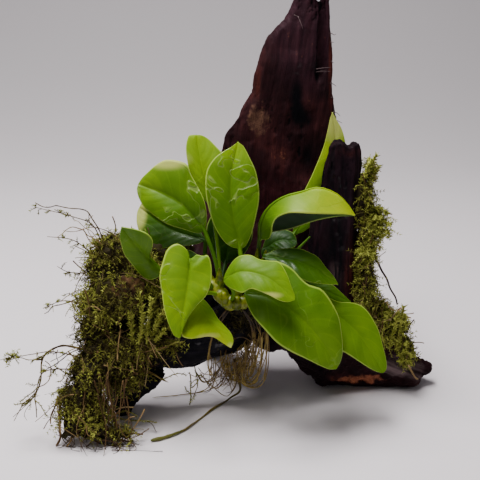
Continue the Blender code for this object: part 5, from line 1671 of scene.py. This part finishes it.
# Loose tufts: home, place, spread, fronds, tone
mossTufts = [
    ("moss_left_crown", (-32, -4, 78), (5, 2, 3), 60, 0.22),
    ("moss_left_crown", (-39, -10, 78), (4, 3, 3), 60, 0.25),
    ("moss_left_crown", (-36, -25, 58), (3, 2.5, 6), 180, 0.55),
    ("moss_left_skirt", (2, -19, 47), (5, 2, 4), 80, 0.05),
    ("moss_left_skirt", (-8, -20, 46), (5, 2, 2.5), 50, 0.05),
    ("moss_left_skirt", (-71, -33, 49), (4, 3, 5), 100, 0.34),
    ("moss_left_skirt", (-35, -20, 45), (4.5, 2, 3), 60, 0.16),
    ("moss_left_crown", (-50, -38, 70), (5, 1.5, 5), 40, 0.20),
    ("moss_left_skirt", (-31, -18, 47), (4, 2, 2), 50, 0.42),
    ("moss_left_skirt", (-22, -16, 48), (4, 1.5, 2), 30, 0.34),
    ("moss_right", (58.5, -4, 100), (1.2, 1, 9), 60, 0.5),
    ("moss_right", (58, -4, 74), (1.2, 1, 8), 60, 0.5),
    ("moss_right", (76, -5, 36), (5, 3, 7), 40, 0.85),
    ("moss_right", (66, -5, 91), (3, 2, 5), 110, 0.85),
]
tuftShape = {"lengths": (3, 6), "hang": 0.5, "reach": 1.1}
# The star of fronds at the tip of the longest runner
starTuft = {"centre": (-102, -46, 43), "fronds": 10, "length": 5.0, "hang": 0.1, "tone": 0.78}
# The body of each mat, drawn in under its fronds, on the skirt most near the floor and outside; its dark tone
# is painted shade deep in the mat
coreShapeAndShade = {
    "voxel": 1.3,
    "drawnIn": 3.6,
    "relief": 1.7,
    "waves": 260.0,
    "toneWaves": 400.0,
    "tone": 0.12,
    "skirt": {"foot": 1.3, "outer": 2.0, "outerX": -68, "outerOver": 6, "below": 22, "over": 8},
    "right": {"out": 1.2, "foot": 1.5, "below": 58, "over": 10},
}
# A lump's relief and its tone: on a green lump, dark as painted shade, and how much more on a brown one
lumpShape = {"relief": (1.3, 0.8), "waves": (260.0, 200.0), "tone": (0.12, 0.10), "mottle": (0.12, 0.2)}
mossColours = [
    (0.05, (0.012, 0.008, 0.0030)),
    (0.28, (0.056, 0.044, 0.0090)),
    (0.50, (0.133, 0.128, 0.0190)),
    (0.75, (0.245, 0.265, 0.0320)),
    (0.97, (0.405, 0.440, 0.0700)),
]
bareColours = [
    (0.10, (0.022, 0.009, 0.0045)),
    (0.35, (0.095, 0.050, 0.0180)),
    (0.60, (0.230, 0.150, 0.0600)),
    (0.90, (0.420, 0.340, 0.1600)),
]


def mossFinish():
    finish = Finish("javaMoss", Specular_IOR_Level=0.15)
    cloud = finish.grain(finish.place(), 75.0, 3.0)
    shade = finish.tone("tone") + (cloud - 0.5) * 0.5
    base = finish.blend(finish.tone("tan"), finish.ramp(shade, mossColours), finish.ramp(shade, bareColours))
    wet = finish.grain(finish.place(), 900.0, 2.0)
    return finish.show(Base_Color=base, Roughness=wet.span(0.3, 0.7, 0.55, 0.85))


def bentLines(starts, directions, lengths, hang, rng, steps=frond["steps"]):
    # Centre lines that leave each start, sink under their weight and sway
    along = np.linspace(0, 1, steps)[None, :, None]
    lengths = lengths[:, None, None]
    straight = starts[:, None] + directions[:, None] * lengths * along
    droop = np.array([0, 0, -1.0]) * hang * lengths * along ** 2 * 0.55
    sway = rng.normal(size=(len(starts), 1, 3)) * lengths * 0.2 * along ** 2
    curl = rng.normal(size=(len(starts), 1, 3)) * lengths * 0.07 * np.sin(along * 5.0)
    return straight + droop + sway + curl


def surfaceSamples(name, count, rng):
    # Random places on a node, and the way its surface faces there
    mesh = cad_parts[name].data
    triangles = vertexArray(mesh)[triangleArray(mesh)]
    edgeA = triangles[:, 1] - triangles[:, 0]
    edgeB = triangles[:, 2] - triangles[:, 0]
    normals = np.cross(edgeA, edgeB)
    areas = np.linalg.norm(normals, axis=1)
    chosen = rng.choice(len(triangles), size=count, p=areas / areas.sum())
    a, b = rng.uniform(size=(2, count, 1))
    flip = (a + b) > 1
    a, b = np.where(flip, 1 - a, a), np.where(flip, 1 - b, b)
    points = triangles[chosen, 0] + edgeA[chosen] * a + edgeB[chosen] * b
    return points / mm - layoutShift, unit(normals[chosen])


def frondParts(lines, rng, tones):
    taper = np.linspace(1.0, frond["taper"], lines.shape[1])[None] * frond["radius"]
    stemTones = tones[:, None] + np.linspace(*frond["tones"], lines.shape[1])[None]
    return [strandPart(lines, taper, 3, stemTones, frond["brown"]), *leafyPart(lines, rng, tones)]


def matFrondParts(name, settings, rng):
    points, normals = surfaceSamples(name, settings["fronds"], rng)
    opensAt = rng.triangular(*matFronds["opensAt"], size=len(points))
    opensAt += np.where(points[:, 0] < matFronds["outerX"], matFronds["outerSooner"], 0.0)
    keep = (points[:, 2] > opensAt) | (name == "moss_right")
    points, normals = points[keep], normals[keep]
    lengths = rng.uniform(*settings["length"], size=len(points))
    spread = normals * matFronds["outward"] + rng.normal(size=points.shape) * matFronds["scatter"]
    spread = unit(spread - np.array([0, 0, matFronds["fall"] * settings["hang"]]))
    tufts = fieldNoise(points, matFronds["tuftWaves"], settings["seed"], 2)
    height = tufts * matFronds["tuftHeight"] - matFronds["tuftSink"] - matFronds["depth"]
    starts = points + normals * height[:, None] - spread * (lengths * 0.45)[:, None]
    lines = bentLines(starts, spread, lengths, settings["hang"], rng)
    tones = settings["tone"] + rng.normal(size=len(points)) * matFronds["toneScatter"]
    # Painted light on upward fronds and on tufts, painted shade in the dips
    tones += matFronds["topLightTone"] * normals[:, 2] + matFronds["tuftShadeTone"] * tufts
    low = np.clip((matFronds["brightBelow"] - points[:, 2]) / matFronds["brightOver"], 0, 1)
    return frondParts(lines, rng, tones + matFronds["brightBy"] * low)


def matStrandPart(name, settings, rng):
    points, normals = surfaceSamples(name, settings["strands"], rng)
    shape = matStrands
    lengths = rng.uniform(*shape["lengths"], size=len(points))
    lengths *= shape["rightShare"] if name == "moss_right" else 1.0
    spread = normals * shape["outward"] + rng.normal(size=points.shape)
    spread = unit(spread - np.array([0, 0, shape["fall"]]))
    starts = points - normals * shape["depth"] - spread * (lengths * 0.5)[:, None]
    lines = bentLines(starts, spread, lengths, shape["hang"], rng, shape["steps"])
    radii = rng.uniform(*shape["radii"], size=(len(points), 1))
    radii = radii * np.linspace(1, shape["taper"], shape["steps"])[None]
    tones = rng.uniform(*shape["tones"], size=(len(points), 1))
    return strandPart(lines, radii, shape["sides"], tones, 1.0)


def hangingParts(rng):
    parts = []
    for index in range(hangingStems["count"]):
        x, y, top = [rng.uniform(*hangingStems[name]) for name in ("x", "y", "top")]
        path = [
            (x, y, top),
            (x + rng.normal() * 1.5, y - 1.5, top * 0.62),
            (x + rng.normal() * 2.5, y - 3, top * 0.28),
            (x + rng.normal() * 3.5, y - 3.5 - rng.uniform(0, 2), 0.6),
            (x + rng.normal() * 6, y - 4.5 - rng.uniform(0, 3), 0.5),
        ]
        line = swayingLine(path, index * 1.3, hangingStems["wiggle"])
        radii = np.linspace(rng.uniform(*hangingStems["radii"]), hangingStems["tip"], len(line))
        tones = np.full(len(line), rng.uniform(*hangingStems["tones"]))
        tones[-3:] -= hangingStems["footDarker"]
        parts.append(strandPart(line[None], radii[None], hangingStems["sides"], tones[None], 1.0))
    return parts


def tracedParts(kind, radii, path, seed, rng):
    # One traced strand, with leaflets of its own where its kind has any
    density, size, tone, brown = strandKinds[kind]
    line = swayingLine(path, seed, 0.5, 1.0)[None]
    steps = np.arange(line.shape[1])
    taper = np.linspace(*radii, len(steps))[None] * (1 + 0.12 * np.sin(steps * 1.7 + seed))[None]
    line[..., 2] = np.maximum(line[..., 2], taper + 0.1)
    tones = tone + 0.10 * np.sin(steps * 0.5 + seed)[None] + rng.normal() * 0.06
    parts = [strandPart(line, taper, 6, tones, brown)]
    count = int(density * pathLength(path))
    if count:
        places = np.sort(rng.uniform(0.05, 1.0, size=count))
        feet = smoothPath(line[0], places)
        forward = directionsAlong(line[0], places, 0.02)
        aside = unit(np.cross(forward, rng.normal(size=feet.shape)))
        points = unit(aside + forward * rng.uniform(0.3, 1.3, size=(count, 1)))
        ups = unit(np.cross(points, aside) + aside * 0.3)
        sizes = size * rng.uniform(0.6, 1.2, size=count)
        parts.append(leafletPart(feet, points, ups, sizes, tone + 0.12 + rng.normal(size=count) * 0.12))
    return parts


def runnerParts(path, rng):
    # A runner, with side fronds at uneven steps
    shape = runnerShape
    count = max(3, int(pathLength(path) / shape["spacing"]))
    places = rng.uniform(0.1, 1.0, size=count)
    starts = smoothPath(path, places)
    forward = directionsAlong(path, places, 0.03)
    aside = unit(rng.normal(size=starts.shape) * 0.8 + forward)
    lengths = rng.uniform(*shape["lengths"], size=count)
    line = swayingLine(path, 20 + len(path), shape["wiggle"])
    radii = np.linspace(*shape["radii"], len(line))
    main = strandPart(line[None], radii[None], shape["sides"], shape["tone"] - shape["stemDarker"],
                      shape["brown"])
    fronds = bentLines(starts, aside, lengths, shape["hang"], rng)
    return [main, *frondParts(fronds, rng, shape["tone"] + rng.normal(size=count) * 0.1)]


def tuftParts(centre, spread, count, tone, rng):
    # Loose fronds around a place where the mat shows between leaves or over the wood
    reach = tuftShape["reach"]
    starts = np.array(centre) + np.clip(rng.normal(size=(count, 3)), -reach, reach) * np.array(spread)
    directions = unit(rng.normal(size=(count, 3)) + np.array([0, -0.4, 0.2]))
    lengths = rng.uniform(*tuftShape["lengths"], size=count)
    lines = bentLines(starts, directions, lengths, tuftShape["hang"], rng)
    return frondParts(lines, rng, tone + rng.normal(size=count) * 0.1)


def starTuftParts(rng):
    count = starTuft["fronds"]
    directions = unit(rng.normal(size=(count, 3)) * np.array([1, 0.5, 1]))
    lengths = rng.uniform(0.6, 1.0, size=count) * starTuft["length"]
    starts = np.repeat([starTuft["centre"]], count, axis=0).astype(float)
    lines = bentLines(starts, directions, lengths, starTuft["hang"], rng)
    return frondParts(lines, rng, starTuft["tone"] + rng.normal(size=count) * 0.08)


def strandHome(path):
    # The node that a traced strand belongs to
    far = np.array(path, dtype=float)[len(path) // 2:].mean(axis=0)
    away = {name: np.linalg.norm(smoothPath(line, np.linspace(0.2, 1, 12)) - far, axis=1).min()
            for name, line in runnerPaths.items()}
    nearest = min(away, key=away.get)
    if away[nearest] < 5.0:
        return nearest
    if far[0] > 30:
        return "moss_right"
    return "moss_left_crown" if far[2] > 56 else "moss_left_skirt"


def makeFronds(finish):
    rng = np.random.default_rng(23)
    pieces = {}
    for name, settings in mossMats.items():
        own = np.random.default_rng(settings["seed"])
        pieces[name] = [*matFrondParts(name, settings, own), matStrandPart(name, settings, own)]
    pieces["moss_left_skirt"] += hangingParts(rng)
    for name, path in runnerPaths.items():
        pieces[name] = runnerParts(path, rng)
    for home, centre, spread, count, tone in mossTufts:
        pieces[home] += tuftParts(centre, spread, count, tone, rng)
    pieces["moss_runner_4"] += starTuftParts(rng)
    for index, (kind, first, last, path) in enumerate(mossStrands):
        pieces[strandHome(path)] += tracedParts(kind, (first, last), path, 2.0 + index, rng)
    for name, parts in pieces.items():
        item = meshFromParts(name + ("_fronds" if name in mossMats else "_look"), parts)
        finishPiece(item, finish, [name])
        print(name, "triangles:", len(item.data.polygons))


def coreRelief(name, spots):
    # How far each point of a mat's body moves out, in millimetres
    x, depth, z = (spots / mm - layoutShift).T
    relief = coreShapeAndShade["relief"] * fieldNoise(spots, coreShapeAndShade["waves"], 4.0, 2) - coreShapeAndShade["drawnIn"]
    if name == "moss_left_skirt":
        skirt = coreShapeAndShade["skirt"]
        outer = np.clip((skirt["outerX"] - x) / skirt["outerOver"], 0, 1)
        low = np.clip((skirt["below"] - z) / skirt["over"], 0, 1)
        relief -= (skirt["foot"] + skirt["outer"] * outer) * low
    if name == "moss_right":
        right = coreShapeAndShade["right"]
        relief += right["out"] - right["foot"] * np.clip((right["below"] - z) / right["over"], 0, 1)
    return relief


def makeCore(name, finish):
    core = nodeCopy(name)
    core.name = name + "_core"
    applyModifier(core, "REMESH", mode="VOXEL", voxel_size=coreShapeAndShade["voxel"] * mm)
    spots = vertexArray(core.data)
    moved = spots + normalArray(core.data) * (coreRelief(name, spots) * mm)[:, None]
    moved[:, 2] = np.maximum(moved[:, 2], 0.1 * mm)
    setVertices(core.data, moved)
    mottle = fieldNoise(spots, coreShapeAndShade["toneWaves"], 9.0)
    # Painted shade: the core is dark, standing for the shade under the fronds
    setTones(core.data, tone=coreShapeAndShade["tone"] * (1 + mottle), tan=0.0)
    core.data.shade_smooth()
    finishPiece(core, finish)


def makeLump(index, centre, sizes, brown, finish):
    lump = ovalBall(f"moss_lump_{index + 1}", centre, sizes)
    reliefSize, waves, tone, mottle = [green + more * brown for green, more in lumpShape.values()]
    spots = vertexArray(lump.data)
    relief = reliefSize * fieldNoise(spots, waves, 4.0, 2 + int(2 * brown))
    setVertices(lump.data, spots + normalArray(lump.data) * (relief * mm)[:, None])
    tones = tone + mottle * fieldNoise(spots, coreShapeAndShade["toneWaves"], 9.0, 2)
    setTones(lump.data, tone=tones, tan=brown)
    lump.data.shade_smooth()
    finishPiece(lump, finish)


def makeMoss():
    finish = mossFinish()
    makeFronds(finish)
    for name in mossMats:
        makeCore(name, finish)
    for index, (centre, sizes, brown) in enumerate(coreLumps):
        makeLump(index, centre, sizes, brown, finish)
    print("moss bodies and lumps made")


# The thin bent stem on the right

twig = {
    "path": [(66, 6, 70), (70, 4, 64), (73, 2, 58), (76.5, 1, 51), (78, 1, 47.5)],
    "steps": 30,
    "sides": 8,
    "radius": 0.6,
    "taper": 0.3,
    "bend": 0.25,
}
twigColours = [(0.3, (0.008, 0.004, 0.004)), (0.7, (0.06, 0.028, 0.018))]


def makeTwig():
    finish = Finish("darkTwig", Coat_Weight=0.1)
    cloud = finish.grain(finish.place(), 600.0, 3.0)
    finish.show(Base_Color=finish.ramp(cloud, twigColours), Roughness=cloud.span(0.3, 0.7, 0.35, 0.6),
                Normal=finish.bump(cloud, 0.0002))
    places = np.linspace(0, 1, twig["steps"])
    points = smoothPath(twig["path"], places)
    points[:, 0] += twig["bend"] * np.sin(places * 17)
    radii = twig["radius"] * (1 - twig["taper"] * places)
    item = tubeAlong("dark_twig_look", toFrame(points), radii, twig["sides"])
    finishPiece(item, finish.material, ["dark_twig"])
    print("twig made")


# Stage: a pale sweep, soft light and the camera, in metres

sweep = {"size": 4.0, "wallHeight": 3, "wallPlace": 1.1, "bend": 0.7, "segments": 24}
# The far colour is painted shade: the sweep darkens towards its wall, where less light reaches it
sweepColours = {"light": (0.84, 0.785, 0.81), "dark": (0.81, 0.755, 0.78), "far": (0.62, 0.585, 0.60)}
# Each soft light: place, aim, size, power, colour
lights = {
    "softTop": ((-0.17, -0.04, 0.82), (0.0, 0.0, 0.05), (0.46, 0.3), 12.6, (1.0, 0.985, 0.985)),
    "softFront": ((-0.3, -0.5, 0.8), (0.0, 0.0, 0.08), (0.4, 0.34), 1.2, (1.0, 0.98, 0.97)),
}
room = {"colour": (0.97, 0.96, 1.0), "strength": 0.11}


def sweepFinish():
    finish = Finish("paleSweep")
    cloud = finish.grain(finish.place(), 3.0, 2.0)
    depth = finish.add("ShaderNodeSeparateXYZ", inputs={"Vector": finish.place()}, output=1)
    base = finish.blend(cloud, sweepColours["dark"], sweepColours["light"])
    # Painted shade: darker towards the far wall
    base = finish.blend(depth.span(0.1, 0.7), base, sweepColours["far"])
    return finish.show(Base_Color=base, Roughness=cloud.span(0.3, 0.7, 0.6, 0.7))


def makeStage():
    # The far edge of a square is drawn up into a wall, and the corner bent round
    deselectAll()
    bpy.ops.mesh.primitive_plane_add(size=sweep["size"], location=(0, 0, 0))
    floor = bpy.context.object
    floor.name = "sweep"
    bpy.ops.object.mode_set(mode="EDIT")
    bpy.ops.mesh.select_all(action="DESELECT")
    bpy.ops.object.mode_set(mode="OBJECT")
    for edge in floor.data.edges:
        edge.select = all(floor.data.vertices[index].co.y > 1 for index in edge.vertices)
    bpy.ops.object.mode_set(mode="EDIT")
    bpy.ops.mesh.extrude_region_move(TRANSFORM_OT_translate={"value": (0, 0, sweep["wallHeight"])})
    bpy.ops.object.mode_set(mode="OBJECT")
    for vertex in floor.data.vertices:
        if vertex.co.y > 1:
            vertex.co.y = sweep["wallPlace"]
    applyModifier(floor, "BEVEL", width=sweep["bend"], segments=sweep["segments"], limit_method="ANGLE")
    floor.data.shade_smooth()
    floor.data.materials.append(sweepFinish())
    print("stage made")


def addLight(name, place, aim, size, power, colour):
    light = bpy.data.lights.new(name, "AREA")
    light.shape = "RECTANGLE"
    light.size, light.size_y = size
    light.energy = power
    light.color = colour
    item = bpy.data.objects.new(name, light)
    bpy.context.scene.collection.objects.link(item)
    item.location = place
    item.rotation_euler = (Vector(aim) - Vector(place)).to_track_quat("-Z", "Y").to_euler()


def makeLights():
    for name, row in lights.items():
        addLight(name, *row)
    world = bpy.data.worlds.new("soft room")
    bpy.context.scene.world = world
    world.use_nodes = True
    background = world.node_tree.nodes["Background"]
    background.inputs["Color"].default_value = (*room["colour"], 1.0)
    background.inputs["Strength"].default_value = room["strength"]
    print("lights made")


def makeCamera():
    camera = bpy.data.cameras.new("photoView")
    camera.sensor_width = view["sensor"]
    camera.lens = view["focalPixels"] * view["sensor"] / view["imageSize"]
    camera.clip_start = 0.01
    item = bpy.data.objects.new("photoView", camera)
    bpy.context.scene.collection.objects.link(item)
    item.location = cameraPlace()
    sight = Vector(toFrame((0, 0, view["aimHeight"])) - cameraPlace())
    item.rotation_euler = sight.to_track_quat("-Z", "Y").to_euler()
    bpy.context.scene.camera = item
    print("camera made")


makeCamera()
makeDriftwood()
leafLook = leafFinish()
makeLeaves(leafLook)
makeRhizome()
makeYoungLeaf(leafLook)
makeRoots()
leaflet = makeLeaflet()
makeMoss()
makeTwig()
makeStage()
makeLights()
